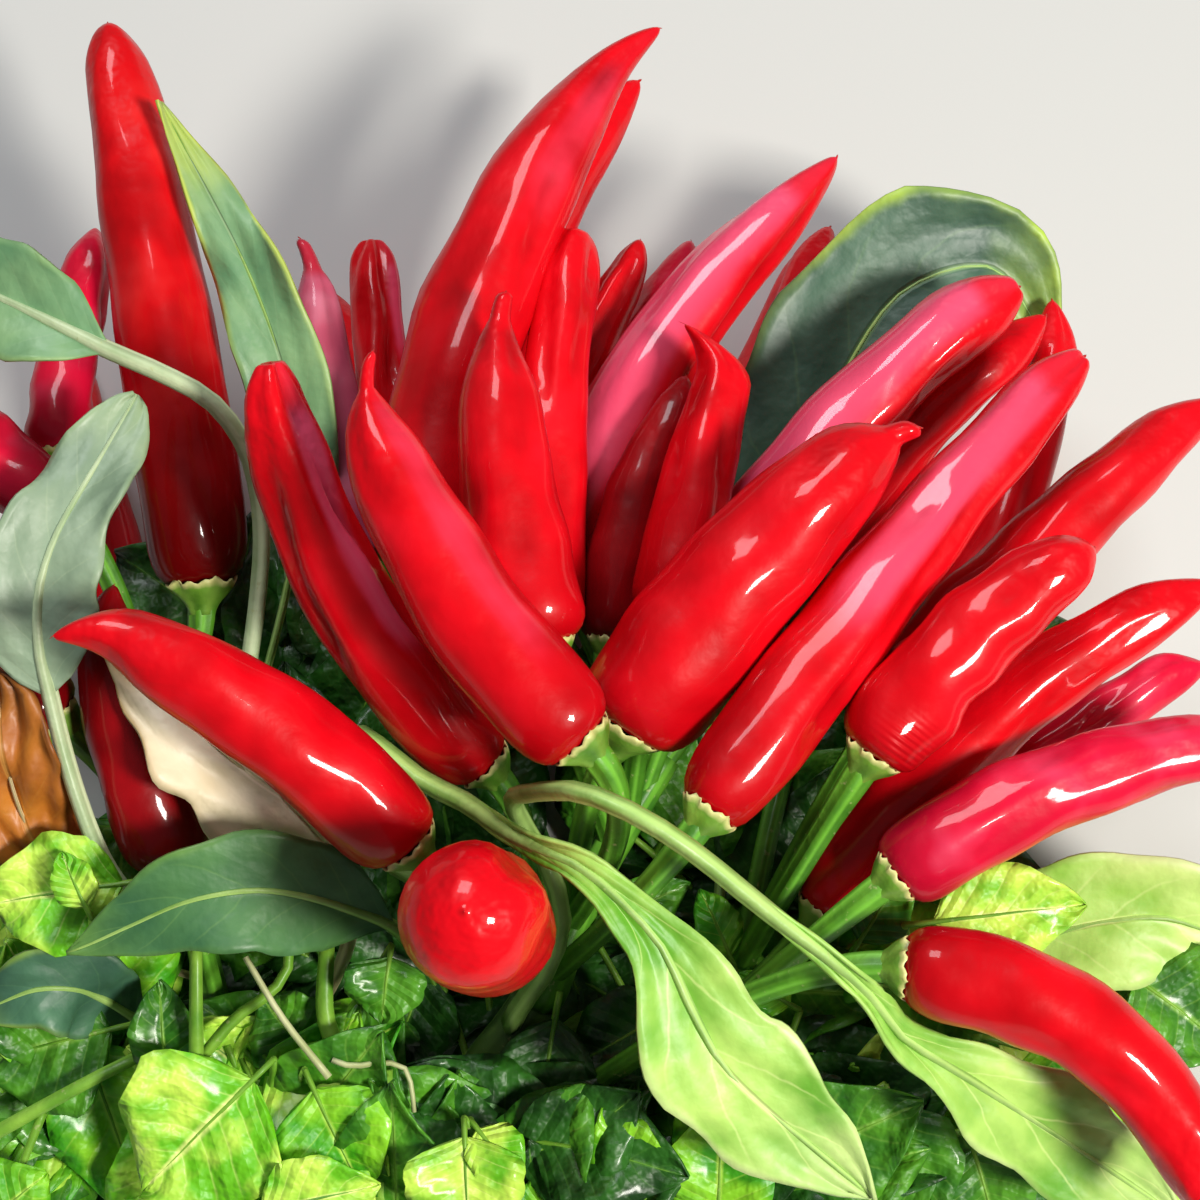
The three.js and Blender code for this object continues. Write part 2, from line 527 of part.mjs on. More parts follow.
function growMass(mass, index) {
  const roll = dice(SEED + index);
  const heart = at(mass.heart);
  const [right, up, toward] = mass.reach;
  const size = new THREE.Vector3(right, toward, up).multiplyScalar(2);
  const space = new THREE.Box3().setFromCenterAndSize(heart, size);
  const settled = [...taken];
  const stem = massStem(mass, heart);
  const pieces = [tube(stem, evenly(4), (t) => TWIG_GIRTH * (0.75 - 0.2 * t), 5, [0, 0.3])];
  const own = [];
  const fits = (balls, root, clear) => balls.every(({ centre }) => space.containsPoint(centre))
    && aboveGround(balls) && !clash(balls, settled)
    && !clash(balls, own.filter(({ centre }) => centre.distanceTo(root) > clear));

  const growTwig = (start, turn) => {
    const out = new THREE.Vector3(Math.cos(turn) * right, (roll() - 0.5) * toward, Math.sin(turn) * up)
      .multiplyScalar(THREE.MathUtils.lerp(...SHOOT_REACH, roll()));
    const end = start.clone().add(out);
    const middle = start.clone().lerp(end, 0.5).add(at([0, TWIG_RISE, 0]));
    const twig = new THREE.QuadraticBezierCurve3(start, middle, end);
    const balls = ballsAlong(twig, 8, () => TWIG_GIRTH / 3);
    if (!fits(balls.slice(3), start, NEAR_ROOT)) return null;
    pieces.push(tube(twig, evenly(3), (t) => TWIG_GIRTH * (0.42 - 0.15 * t), 3));
    own.push(...balls);
    return { twig, out };
  };

  const growLeaf = (root, out, turn) => {
    const grown = THREE.MathUtils.lerp(...LEAF_SIZES, roll());
    const heading = out.clone().normalize().applyAxisAngle(VIEWER, turn);
    heading.addScaledVector(VIEWER, 0.6 * (roll() - 0.5)).normalize();
    const tip = root.clone().addScaledVector(heading, SHOOT_LEAF.length * grown);
    const middle = root.clone().lerp(tip, 0.5).add(at(LEAF_ARCH));
    const rib = new THREE.QuadraticBezierCurve3(root, middle, tip);
    const leaf = { ...SHOOT_LEAF, width: SHOOT_LEAF.width * grown };
    const upper = at([roll() - 0.5, 0.8, 0.4 + roll()]).normalize();
    const balls = leafBalls(rib, leaf, upper)
      .filter(({ centre }) => centre.distanceTo(root) > NEAR_ROOT / 2);
    if (!fits(balls, root, NEAR_ROOT)) return false;
    pieces.push(leafSkin(rib, leaf, upper, 4, leafStations(rib, leaf.blade, [0, 0.3, 0.7, 1])));
    own.push(...balls);
    return true;
  };

  for (let i = 0; i < SHOOTS; i += 1) {
    const start = stem.getPoint(0.4 + (0.6 * (i + 1)) / SHOOTS);
    let shoot = null;
    for (let n = 0; n < TRIES && !shoot; n += 1) shoot = growTwig(start, GOLDEN_TURN * (i + n * SHOOTS));
    if (!shoot) continue;
    for (let j = 0; j < LEAVES_A_SHOOT; j += 1) {
      const root = shoot.twig.getPoint((j + 1) / LEAVES_A_SHOOT - 0.02);
      let grown = false;
      for (let n = 0; n < TRIES && !grown; n += 1) {
        grown = growLeaf(root, shoot.out, (j - 1) * LEAF_TURN + 2 * LEAF_TURN * (roll() - 0.5));
      }
    }
  }
  taken.push(...own);
  return fused(pieces);
}

const branch = new THREE.Group();

function add(name, geometry, colour, roughness) {
  const material = new THREE.MeshStandardMaterial({ color: colour, roughness, metalness: 0 });
  const mesh = new THREE.Mesh(geometry, material);
  mesh.name = name;
  branch.add(mesh);
}

const limbSkin = ({ curve, radiusAt }) => tube(curve, evenly(7), radiusAt, 10, [0, 0]);

for (const name of Object.keys(LIMBS)) add(name, limbSkin(limbs[name]), COLOURS.stem, 0.6);
for (const name of Object.keys(SPURS)) {
  const stalks = fruits.filter((fruit) => fruit.spur === limbs[name]).map(stalkSkin);
  add(`stalks_${name}`, fused([limbSkin(limbs[name]), ...stalks]), COLOURS.stalk, 0.55);
}
for (const fruit of fruits) add(fruit.name, chilliSkin(fruit), COLOURS.ripe, 0.25);
for (const leaf of leaves) {
  const stations = leafStations(leaf.curve, leaf.blade, LEAF_OUTLINE.map(([s]) => s));
  add(leaf.name, leafSkin(leaf.curve, leaf, VIEWER, 8, stations), COLOURS[leaf.colour], 0.5);
}
MASSES.forEach((mass, index) => add(mass.name, growMass(mass, index), COLOURS.fresh, 0.5));

branch.rotation.x = -radians(LAID_BACK);
const laid = new THREE.Group();
laid.add(branch);
const box = new THREE.Box3().setFromObject(laid, true);
const centre = box.getCenter(new THREE.Vector3());
branch.position.set(-centre.x, -centre.y, -box.min.z);

export default laid;
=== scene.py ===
import math
import random

import bmesh
import bpy
import numpy as np
from mathutils import Matrix, Vector
from mathutils.bvhtree import BVHTree
from mathutils.geometry import interpolate_bezier


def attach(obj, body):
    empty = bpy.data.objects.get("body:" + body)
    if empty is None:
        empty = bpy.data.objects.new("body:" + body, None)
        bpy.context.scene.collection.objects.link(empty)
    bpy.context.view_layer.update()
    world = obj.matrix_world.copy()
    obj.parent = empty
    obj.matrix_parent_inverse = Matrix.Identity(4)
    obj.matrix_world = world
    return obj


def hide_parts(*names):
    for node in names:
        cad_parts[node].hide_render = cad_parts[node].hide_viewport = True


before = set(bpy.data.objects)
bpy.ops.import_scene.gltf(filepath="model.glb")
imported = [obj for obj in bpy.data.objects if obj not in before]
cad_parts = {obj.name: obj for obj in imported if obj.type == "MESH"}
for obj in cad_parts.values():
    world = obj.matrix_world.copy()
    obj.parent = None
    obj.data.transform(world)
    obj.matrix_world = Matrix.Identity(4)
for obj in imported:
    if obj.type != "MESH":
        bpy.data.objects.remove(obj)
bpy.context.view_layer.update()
bpy.ops.object.select_all(action="DESELECT")

# ---- Main stem and its two limbs
# The green stem of the plant, cut flat at its foot, and the two limbs that it forks into. They are
# soft young wood with low ridges that run along them, and each tapers evenly to its head. Places are
# (right, up, toward the viewer) as the branch grew, and they and all girths are in millimetres.
LAID_BACK = math.radians(75)
STEM_CUT = (-26, -103, -14.5)
JOINT_GAP = 0.35
LIMB_FIT = 0.94
LINE_STEP = 0.001
LIMBS = {
    "main_stem": dict(way=[(-25, -94, -13.5), (-22, -84, -13)], girth=(9.4, 8.2)),
    "limb_right": dict(on="main_stem", share=1, way=[(-19, -70, -11), (-9, -55, -8)], girth=(7.6, 7)),
    "limb_left": dict(on="main_stem", share=0.5, way=[(-42, -86, -15), (-52, -66, -20)], girth=(5.6, 5)),
}


def rings_of(node):
    """The rings of points round a packed skin, from its wider end, each ring in order round it."""
    shell = bmesh.new()
    shell.from_mesh(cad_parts[node].data)
    bmesh.ops.remove_doubles(shell, verts=shell.verts, dist=2e-6)
    poles = sorted(shell.verts, key=lambda point: len(point.link_edges))[-2:]
    foot = max(poles, key=lambda pole: np.mean([e.calc_length() for e in pole.link_edges]))
    rings, seen, front = [], {foot}, {foot}
    while True:
        front = {e.other_vert(point) for point in front for e in point.link_edges} - seen
        if len(front) < 3:
            break
        seen |= front
        ring = [next(iter(front))]
        while len(ring) < len(front):
            beside = [e.other_vert(ring[-1]) for e in ring[-1].link_edges]
            step = [point for point in beside if point in front and point not in ring]
            if not step:
                break
            ring.append(step[0])
        rings.append(np.array([point.co for point in ring]))
    shell.free()
    return rings


def drawn(right, up, toward):
    """A direction of the drawing, as it grew, turned to how the branch lies."""
    lean, rise = math.cos(LAID_BACK), math.sin(LAID_BACK)
    return Vector((right, up * rise - toward * lean, up * lean + toward * rise)) / 1000


foot_of_stem = Vector(rings_of("main_stem")[0].mean(axis=0))
origin = foot_of_stem - drawn(*STEM_CUT)
toward_viewer = drawn(0, 0, 1).normalized()


def at(place):
    return origin + drawn(*place)


def smooth_line(places):
    """Points a step apart on the smooth curve through some places."""
    ends = [2 * places[0] - places[1], *places, 2 * places[-1] - places[-2]]
    points = []
    for before, start, end, after in zip(ends, ends[1:], ends[2:], ends[3:]):
        spans = (start - before, end - start, after - end)
        a, b, c = (max(span.length, 1e-9) ** 0.5 for span in spans)
        leaving = ((start - before) / a - (end - before) / (a + b) + (end - start) / b) * b / 3
        arriving = ((end - start) / b - (after - start) / (b + c) + (after - end) / c) * b / 3
        points += interpolate_bezier(start, start + leaving, end - arriving, end, 12)[:-1]
    points = np.array([*points, places[-1]])
    run = np.concatenate([[0], np.cumsum(np.linalg.norm(np.diff(points, axis=0), axis=1))])
    even = np.linspace(0, run[-1], max(4, math.ceil(run[-1] / LINE_STEP) + 1))
    return np.stack([np.interp(even, run, points[:, i]) for i in range(3)], axis=1)


class Way:
    """A line with a side and an upper direction at each share of its length."""

    def __init__(self, points, upper=(0.3, -0.3, 0.9), faced_from=2):
        self.points = np.array(points, float)
        self.shares = np.linspace(0, 1, len(points))
        self.length = np.linalg.norm(np.diff(self.points, axis=0), axis=1).sum()
        ahead = np.gradient(self.points, axis=0)
        self.ahead = ahead / np.linalg.norm(ahead, axis=1)[:, None]
        side, sides = np.cross(self.ahead[-1], upper), []
        for share, along in zip(self.shares[::-1], self.ahead[::-1]):
            if share >= faced_from:
                side = np.cross(along, upper)
            side = side - along * side.dot(along)
            side = side / np.linalg.norm(side)
            sides.append(side)
        self.side = np.array(sides[::-1])
        self.up = np.cross(self.side, self.ahead)

    def at(self, share, kind="points"):
        values = getattr(self, kind)
        return np.stack([np.interp(share, self.shares, values[:, i]) for i in range(3)], axis=-1)

    def place(self, share):
        return Vector(self.at(share))


def points_of(piece):
    points = np.empty(len(piece.data.vertices) * 3)
    piece.data.vertices.foreach_get("co", points)
    return points.reshape(-1, 3)


def angle_round(points):
    """How far each point is turned round Z, from the right."""
    return np.arctan2(points[:, 1], points[:, 0])


def copied(model, name, places):
    """A copy of a model with its points moved to the given places."""
    mesh = model.data.copy()
    mesh.name = name
    mesh.vertices.foreach_set("co", places.ravel())
    piece = bpy.data.objects.new(name, mesh)
    bpy.context.collection.objects.link(piece)
    return piece


def laid_along(model, name, way, girth_at, shape=None):
    """A copy of a piece modelled up Z from 0 to 1, laid along a way with its girth at each share."""
    points = points_of(model)
    if shape is not None:
        points = shape(points)
    share = np.clip(points[:, 2], 0, 1)
    beyond = (points[:, 2] - share) * way.length
    reach = (girth_at(share) / 2 * np.ones_like(share))[:, None]
    places = way.at(share) + way.at(share, "side") * points[:, :1] * reach
    places += way.at(share, "up") * points[:, 1:2] * reach + way.at(share, "ahead") * beyond[:, None]
    return copied(model, name, places)


def choose(piece):
    """Makes a piece the only one that the next operators act on."""
    bpy.ops.object.select_all(action="DESELECT")
    piece.select_set(True)
    bpy.context.view_layer.objects.active = piece
    return piece


def turned(name, sides, stations, ridges=0, depth=0.0, tip=False):
    """A closed skin drawn up from a circle: at each station it is extruded, raised and resized."""
    bpy.ops.mesh.primitive_circle_add(vertices=sides, radius=1, fill_type="NGON")
    piece = bpy.context.active_object
    piece.name = name
    for i, point in enumerate(piece.data.vertices):
        point.co *= 1 + depth * math.cos(ridges * 2 * math.pi * i / sides) if ridges else 1
    bpy.ops.object.mode_set(mode="EDIT")
    bpy.ops.mesh.select_all(action="SELECT")
    height, width = stations[0]
    bpy.ops.transform.resize(value=(width, width, 1))
    for up, wide in stations[1:]:
        bpy.ops.mesh.extrude_region_move(TRANSFORM_OT_translate={"value": (0, 0, up - height)})
        bpy.ops.transform.resize(value=(wide / width, wide / width, 1))
        height, width = up, wide
    if tip:
        bpy.ops.mesh.merge(type="CENTER")
    bpy.ops.mesh.select_all(action="SELECT")
    bpy.ops.mesh.normals_make_consistent(inside=False)
    bpy.ops.object.mode_set(mode="OBJECT")
    piece.data.shade_smooth()
    return piece


def joined(name, pieces):
    """Several pieces as one."""
    choose(pieces[0])
    for piece in pieces:
        piece.select_set(True)
    bpy.ops.object.join()
    pieces[0].name = pieces[0].data.name = name
    return pieces[0]


class Wire:
    """An output of a material's node. Sums on it add the nodes that work them out."""

    def __init__(self, finish, socket):
        self.finish, self.socket = finish, socket

    def __add__(self, other):
        return self.finish.sum("ADD", self, other)

    __radd__ = __add__

    def __mul__(self, other):
        return self.finish.sum("MULTIPLY", self, other)

    def __sub__(self, other):
        return self.finish.sum("SUBTRACT", self, other)

    def __rsub__(self, other):
        return self.finish.sum("SUBTRACT", other, self)

    def between(self, low, high):
        """0 up to low and 1 from high on, with a soft step between."""
        inputs = {"Value": self, "From Min": low, "From Max": high}
        return self.finish.node("ShaderNodeMapRange", {"interpolation_type": "SMOOTHSTEP"}, inputs)


class Finish:
    """A material in the making."""

    def __init__(self, name, **inputs):
        self.material = bpy.data.materials.new(name)
        self.material.use_nodes = True
        self.tree = self.material.node_tree
        self.shader = self.tree.nodes["Principled BSDF"]
        self.paint(**inputs)

    def node(self, kind, settings=None, inputs=None, output=0):
        node = self.tree.nodes.new(kind)
        for setting, value in (settings or {}).items():
            if setting == "stops":
                for i, (place, colour) in enumerate(value):
                    stop = node.color_ramp.elements[i] if i < 2 else node.color_ramp.elements.new(place)
                    stop.position, stop.color = place, (*colour, 1)
            else:
                setattr(node, setting, value)
        for socket, value in (inputs or {}).items():
            self.feed(node.inputs[socket], value)
        return Wire(self, node.outputs[output])

    def feed(self, socket, value):
        if isinstance(value, Wire):
            self.tree.links.new(value.socket, socket)
        elif isinstance(value, tuple) and len(value) == 3 and socket.type == "RGBA":
            socket.default_value = (*value, 1)
        else:
            socket.default_value = value

    def sum(self, operation, *values):
        return self.node("ShaderNodeMath", {"operation": operation}, dict(enumerate(values)))

    def noise(self, scale, detail=3.0):
        place = self.node("ShaderNodeTexCoord", output="Object")
        return self.node("ShaderNodeTexNoise", inputs={"Vector": place, "Scale": scale, "Detail": detail})

    def value(self, name):
        return self.node("ShaderNodeAttribute", {"attribute_name": name}, output="Fac")

    def ramp(self, value, *stops):
        return self.node("ShaderNodeValToRGB", {"stops": stops}, {"Fac": value})

    def mix(self, share, one, other):
        settings = {"data_type": "RGBA"}
        return self.node("ShaderNodeMix", settings, {0: share, 6: one, 7: other}, output=2)

    def bump(self, height, distance, strength):
        inputs = {"Height": height, "Distance": distance, "Strength": strength}
        self.feed(self.shader.inputs["Normal"], self.node("ShaderNodeBump", inputs=inputs))

    def paint(self, **inputs):
        for socket, value in inputs.items():
            self.feed(self.shader.inputs[socket.replace("_", " ").title().replace("Ior", "IOR")], value)
        return self.material


def green_wood(name, dark, light):
    """Smooth green skin with paler ridges, pale specks and fine lines along it."""
    finish = Finish(name, coat_weight=0.15, coat_roughness=0.25)
    blotch, speck = finish.noise(160), finish.noise(900, 2)
    ridge = finish.value("ridge")
    skin = finish.ramp(blotch, (0.3, dark), (0.7, light))
    paler = tuple(min(1, 1.7 * c + 0.02) for c in light)
    skin = finish.mix(ridge.between(0.4, 1) * 0.55, skin, paler)
    skin = finish.mix(speck.between(0.66, 0.74) * 0.5, skin, (0.45, 0.5, 0.2))
    finish.bump(speck * 0.4 + blotch + ridge * 0.5, 0.0004, 0.6)
    return finish.paint(base_color=skin, roughness=0.38 + speck * 0.25)


def marked(piece, name, values):
    """Gives each point of a piece a number, for its material to read."""
    mark = piece.data.attributes.get(name) or piece.data.attributes.new(name, "FLOAT", "POINT")
    mark.data.foreach_set("value", np.asarray(values, np.float32))
    return piece


def ridged_rod(name, sides, lengths, ridges, depth):
    """A straight ridged rod up Z from 0 to 1, with its ridges marked."""
    rod = turned(name, sides, [(i / lengths, 1) for i in range(lengths + 1)], ridges, depth)
    return marked(rod, "ridge", 0.5 + 0.5 * np.cos(ridges * angle_round(points_of(rod))))


def hump(value, middle, width, power=2):
    """1 where a value is at the middle, and down to 0 on both sides of it."""
    return np.exp(-((value - middle) / width) ** power)


stem_model = ridged_rod("stem_model", 40, 24, ridges=5, depth=0.07)
limbs = {}


def bud_on(limb, share, heading):
    """Where something grows out of a limb, just clear of its skin, and the way it leaves."""
    way, centre = limb["way"], limb["way"].place(share)
    ahead = Vector(way.at(share, "ahead"))
    if share == 1:
        return centre + ahead * JOINT_GAP / 1000, ahead
    out = heading - centre
    out = (out - ahead * out.dot(ahead)).normalized()
    return centre + out * (limb["radius"](share) + JOINT_GAP / 1000), out


def grown_line(place, out, places):
    """A line that leaves a bud squarely and then goes evenly through the given places."""
    lead = [place + out * reach / 1000 for reach in (0, 1.2, 2.4)]
    return smooth_line([*lead, *places])


def grow_limb(name, way, girth, on=None, share=None):
    """Lays a limb's line, from the stem's cut or from a place on another limb."""
    places = [at(place) for place in way]
    if on:
        line = grown_line(*bud_on(limbs[on], share, places[0]), places)
    else:
        line = smooth_line([at(STEM_CUT), *places])
    limbs[name] = {
        "way": Way(line),
        "radius": lambda share: (girth[0] + (girth[1] - girth[0]) * share) / 2000,
    }


def limb_skin(name):
    limb = limbs[name]
    knuckles = lambda share: 1 + 0.05 * hump(share, 0.03, 0.05) + 0.02 * np.sin(21 * share)
    girth_at = lambda share: 2 * LIMB_FIT * limb["radius"](share) * knuckles(share)
    return laid_along(stem_model, name, limb["way"], girth_at)


green_stem = green_wood("smooth green stem", (0.035, 0.085, 0.012), (0.1, 0.2, 0.03))
for name, limb in LIMBS.items():
    grow_limb(name, **limb)
    piece = limb_skin(name)
    piece.name = name + "_skin"
    piece.data.materials.append(green_stem)
    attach(piece, "root")
    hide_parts(name)

# ---- Chillies
# Ripe upright fruits: thin glossy skin over a hollow cone, with long pleats, shallow dents and a
# small dry nub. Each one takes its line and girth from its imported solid, whose rings stand at these
# shares of its length. The model's stations are (share of the length, share of the full girth).
CHILLI_RINGS = [0, 0.05, 0.18, 0.38, 0.57, 0.72, 0.84, 0.93, 0.98]
FULL_RING = 2
CHILLI_BUILD = [
    (0, 0.36), (0.004, 0.54), (0.012, 0.68), (0.025, 0.8), (0.045, 0.89), (0.07, 0.95), (0.1, 0.985),
    (0.14, 1), (0.18, 1), (0.22, 1), (0.26, 1), (0.3, 0.995), (0.34, 0.985), (0.38, 0.975),
    (0.42, 0.96), (0.46, 0.945), (0.5, 0.93), (0.54, 0.91), (0.58, 0.89), (0.62, 0.865), (0.66, 0.84),
    (0.7, 0.81), (0.74, 0.775), (0.78, 0.74), (0.815, 0.7), (0.85, 0.66), (0.88, 0.62), (0.905, 0.585),
    (0.924, 0.56), (0.936, 0.54), (0.946, 0.525), (0.955, 0.51), (0.963, 0.495), (0.971, 0.483),
    (0.979, 0.472), (0.986, 0.463), (0.992, 0.455), (0.998, 0.45),
    (1.001, 0.085), (1.01, 0.07), (1.018, 0.035),
]
NUB_START = 1
TAPER = CHILLI_BUILD[10:-3]
FIRST_FRUIT_SEED = 40
PLAIN_PLEATS = 2
LUMPS = 6
RING_WAVES = 290
# What tells single chillies apart: pleats as (degrees round from the right, depth, from, to), how
# much fuller than usual the end is, how long a share of the fruit its end takes to round off, how far
# it hooks over, the slim peak on it as (width, length), how deep it is creased and dimpled, how big
# the nub is, how it is pinched flat, how stout and how lumpy the fruit is, the rings at its butt, the
# painted sheen, a pale pink reflection painted down one side, as (degrees round, half width in
# degrees, strength, from) and whether the nub is red too.
CHILLI_LOOKS = {
    "front_low_left": dict(pleats=[(250, 0.1, 0.3, 1)], full=-0.25, dome=0.24, hook=-0.9),
    "front_left": dict(pleats=[(28, 0.3, 0.06, 0.96), (125, 0.26, 0.3, 1.1)], full=0.35, dome=0.09, hook=0.1,
                       nub=0.3, pinch=(20, 0.2), creased=0.4, dimple=0.02, painted_sheen=(38, 26, 0.9, 0.25)),
    "front_middle": dict(pleats=[(110, 0.1, 0.6, 1)], full=-0.1, dome=0.2, hook=0.7, peak=(0.27, 0.08),
                         nub=0.3, painted_sheen=(48, 30, 0.4, 0.1)),
    "tall": dict(pleats=[(60, 0.14, 0.4, 1), (120, 0.1, 0.1, 0.7)], full=-0.2, dome=0.3, hook=0.4,
                 painted_sheen=(70, 34, 0.4, 0.5)),
    "upright": dict(pleats=[(70, 0.14, 0.1, 0.9)], full=-0.3, dome=0.3, hook=0.2, peak=(0.4, 0.08), nub=0.3),
    "blunt": dict(pleats=[(50, 0.16, 0.2, 1), (110, 0.16, 0.3, 1.1)], full=0.5, dome=0.06, hook=0, nub=0.4,
                  pinch=(60, 0.2), creased=0.24, dimple=0.03),
    "long_pink": dict(pleats=[(40, 0.24, 0.12, 0.95), (160, 0.1, 0.3, 1)], full=-0.1, dome=0.2, hook=-0.4,
                      painted_sheen=(134, 62, 0.95, 0.1)),
    "curled": dict(pleats=[(60, 0.16, 0.2, 1), (130, 0.12, 0.3, 1)], full=0.2, dome=0.12, hook=-2.2),
    "upper_right": dict(pleats=[(90, 0.2, 0.5, 1), (40, 0.22, 0.1, 0.9)], full=0.4, dome=0.1, hook=0.2,
                        nub=0.5, creased=0.36, dimple=0.015, painted_sheen=(130, 60, 0.95, 0.1)),
    "front_stout": dict(pleats=[(140, 0.07, 0.3, 0.9), (40, 0.1, 0.6, 1)], full=-0.15, dome=0.13, hook=0.5,
                        peak=(0.38, 0.06), nub=0.4),
    "front_long": dict(pleats=[(60, 0.22, 0.1, 1), (120, 0.2, 0.5, 1.1)], full=0.35, dome=0.12, hook=0.1,
                       nub=0.5, creased=0.4, dimple=0.015, painted_sheen=(108, 42, 0.75, 0.28)),
    "ridged": dict(pleats=[(100, 0.08, 0.4, 1)], full=0.3, dome=0.09, hook=0.1, nub=0.4, rings=1),
    "right_arched": dict(pleats=[(60, 0.1, 0.2, 1)], full=0.2, dome=0.14, hook=0),
    "right_level": dict(pleats=[(80, 0.1, 0.1, 1), (130, 0.08, 0.2, 1)], full=0.3, dome=0.14, hook=0),
    "drooping": dict(pleats=[(60, 0.08, 0.2, 1)], full=0.4, dome=0.12, hook=0),
    "end_on": dict(pleats=[(10, 0.05, 0, 0.9)], full=0, dome=0.25, hook=0, nub=0.15, red_nub=True,
                   lumpy=0.3, stout=0.9, pinch=(0, 0), creased=0.03),
    "left_tall": dict(pleats=[(60, 0.1, 0.2, 0.9), (120, 0.06, 0.4, 0.9)], full=0.1, dome=0.08, hook=0,
                      nub=0.2),
    "left_mauve": dict(pleats=[(70, 0.2, 0.1, 1)], full=0, dome=0.18, hook=-0.8, nub=0.5, peak=(0.5, 0.09)),
    "left_back": dict(pleats=[(70, 0.34, 0.2, 1.1)], full=0.4, dome=0.09, hook=0, nub=0.3, pinch=(95, 0.2),
                      creased=0.3, dimple=0.015, painted_sheen=(20, 25, 0.8, 0.5)),
}


def turn_from(degrees, angle):
    """How far an angle is turned from some degrees round, between minus and plus half a turn."""
    return (angle - np.radians(degrees) + np.pi) % (2 * np.pi) - np.pi


def onset(share, start, over, most=1):
    """0 up to a start and then evenly up to 1, or to the most it gets to."""
    return np.clip((share - start) / over, 0, most)


def chilli_line(rings):
    """The bow that a chilli's rings lie on, fitted through their middles, and its girth."""
    middles = np.array([ring.mean(axis=0) for ring in rings])
    bow = np.polyfit(CHILLI_RINGS, middles, 2)
    line = [bow[0] * t * t + bow[1] * t + bow[2] for t in np.linspace(0, 1, 60)]
    full = rings[FULL_RING]
    return line, 2 * np.linalg.norm(full - full.mean(axis=0), axis=1).mean()


def pinched(look, luck):
    """How one chilli's skin differs from the model's: its swelling all round, and its whole shape."""
    draw, lumpy = luck.uniform, look.get("lumpy", 1)
    pleats = look.get("pleats") or [
        (draw(0, 360), draw(0.08, 0.18), draw(0.1, 0.4), 1) for _ in range(PLAIN_PLEATS)]
    pleats = [*pleats, (draw(180, 360), 0.12, 0.2, 1)]
    lumps = [(lumpy * draw(0.012, 0.032), draw(9, 34), luck.choice((1, 2, 3)), draw(0, 6.3))
             for _ in range(LUMPS)]
    full, hook = look.get("full", draw(-0.1, 0.4)), look.get("hook", draw(-0.6, 0.6))
    dome, nub = look.get("dome", draw(0.1, 0.2)), look.get("nub", draw(0.2, 0.5))
    squeezed, squeeze = look.get("pinch", (draw(0, 180), 0.1))
    stout, dimple = look.get("stout", 0), look.get("dimple", 0)
    peak, neck = look.get("peak", (0.02, 0))
    creased, creases = look.get("creased", draw(0.05, 0.12)), luck.choice((3, 4))

    def swelling(share, angle):
        swell = 1 + full * 0.5 * hump(share, 0.88, 0.12)
        for degrees, depth, start, end in pleats:
            off = turn_from(degrees, angle - 0.35 * np.sin(5 * share + degrees))
            depth = depth * onset(share, start, 0.12) * onset(end + 0.02 - share, 0, 0.1)
            waver = 0.75 + 0.25 * np.sin(23 * share + 2 * degrees)
            narrow = 0.3 + 0.12 * np.sin(3 * share + degrees)
            flanks = 0.45 * hump(off, 0.62, 0.36) + 0.3 * hump(off, -0.62, 0.36)
            swell = swell + depth * (flanks - waver * hump(off, 0, narrow))
        for height, waves, round_it, start in lumps:
            swell = swell + height * np.sin(waves * share + start) * np.cos(round_it * angle + 2 * start)
        furrow = (0.5 + 0.5 * np.cos(creases * angle + 9 * share + squeezed)) ** 3
        return swell - creased * onset(share, 0.78, 0.16) * furrow

    def shape(points):
        share, angle = points[:, 2].copy(), angle_round(points)
        swell = swelling(share, angle)
        swell = swell * (1 - squeeze * onset(share, 0.75, 0.25) * np.cos(2 * turn_from(squeezed, angle)))
        rounded = onset(share, 1 - dome - neck, dome, 0.998) ** 2
        slim = peak * np.sqrt(1 - onset(share, 0.98, 0.02, 0.98) ** 2)
        swell = np.hypot(swell * np.sqrt(1 - rounded), slim)
        swell = swell * np.interp(share, *zip(*TAPER)) ** -stout
        swell = np.where(share < NUB_START, swell, nub)
        points = points * np.stack([swell, swell, np.ones_like(swell)], axis=1)
        points[:, 2] = np.where(share < NUB_START, share, NUB_START + (share - NUB_START) * nub)
        points[:, 2] -= dimple * onset(share, 0.975, 0.023) ** 2
        points[:, 0] += hook * 0.6 * onset(share, 0.84, 0.16, 1.1) ** 2
        return points

    return swelling, shape


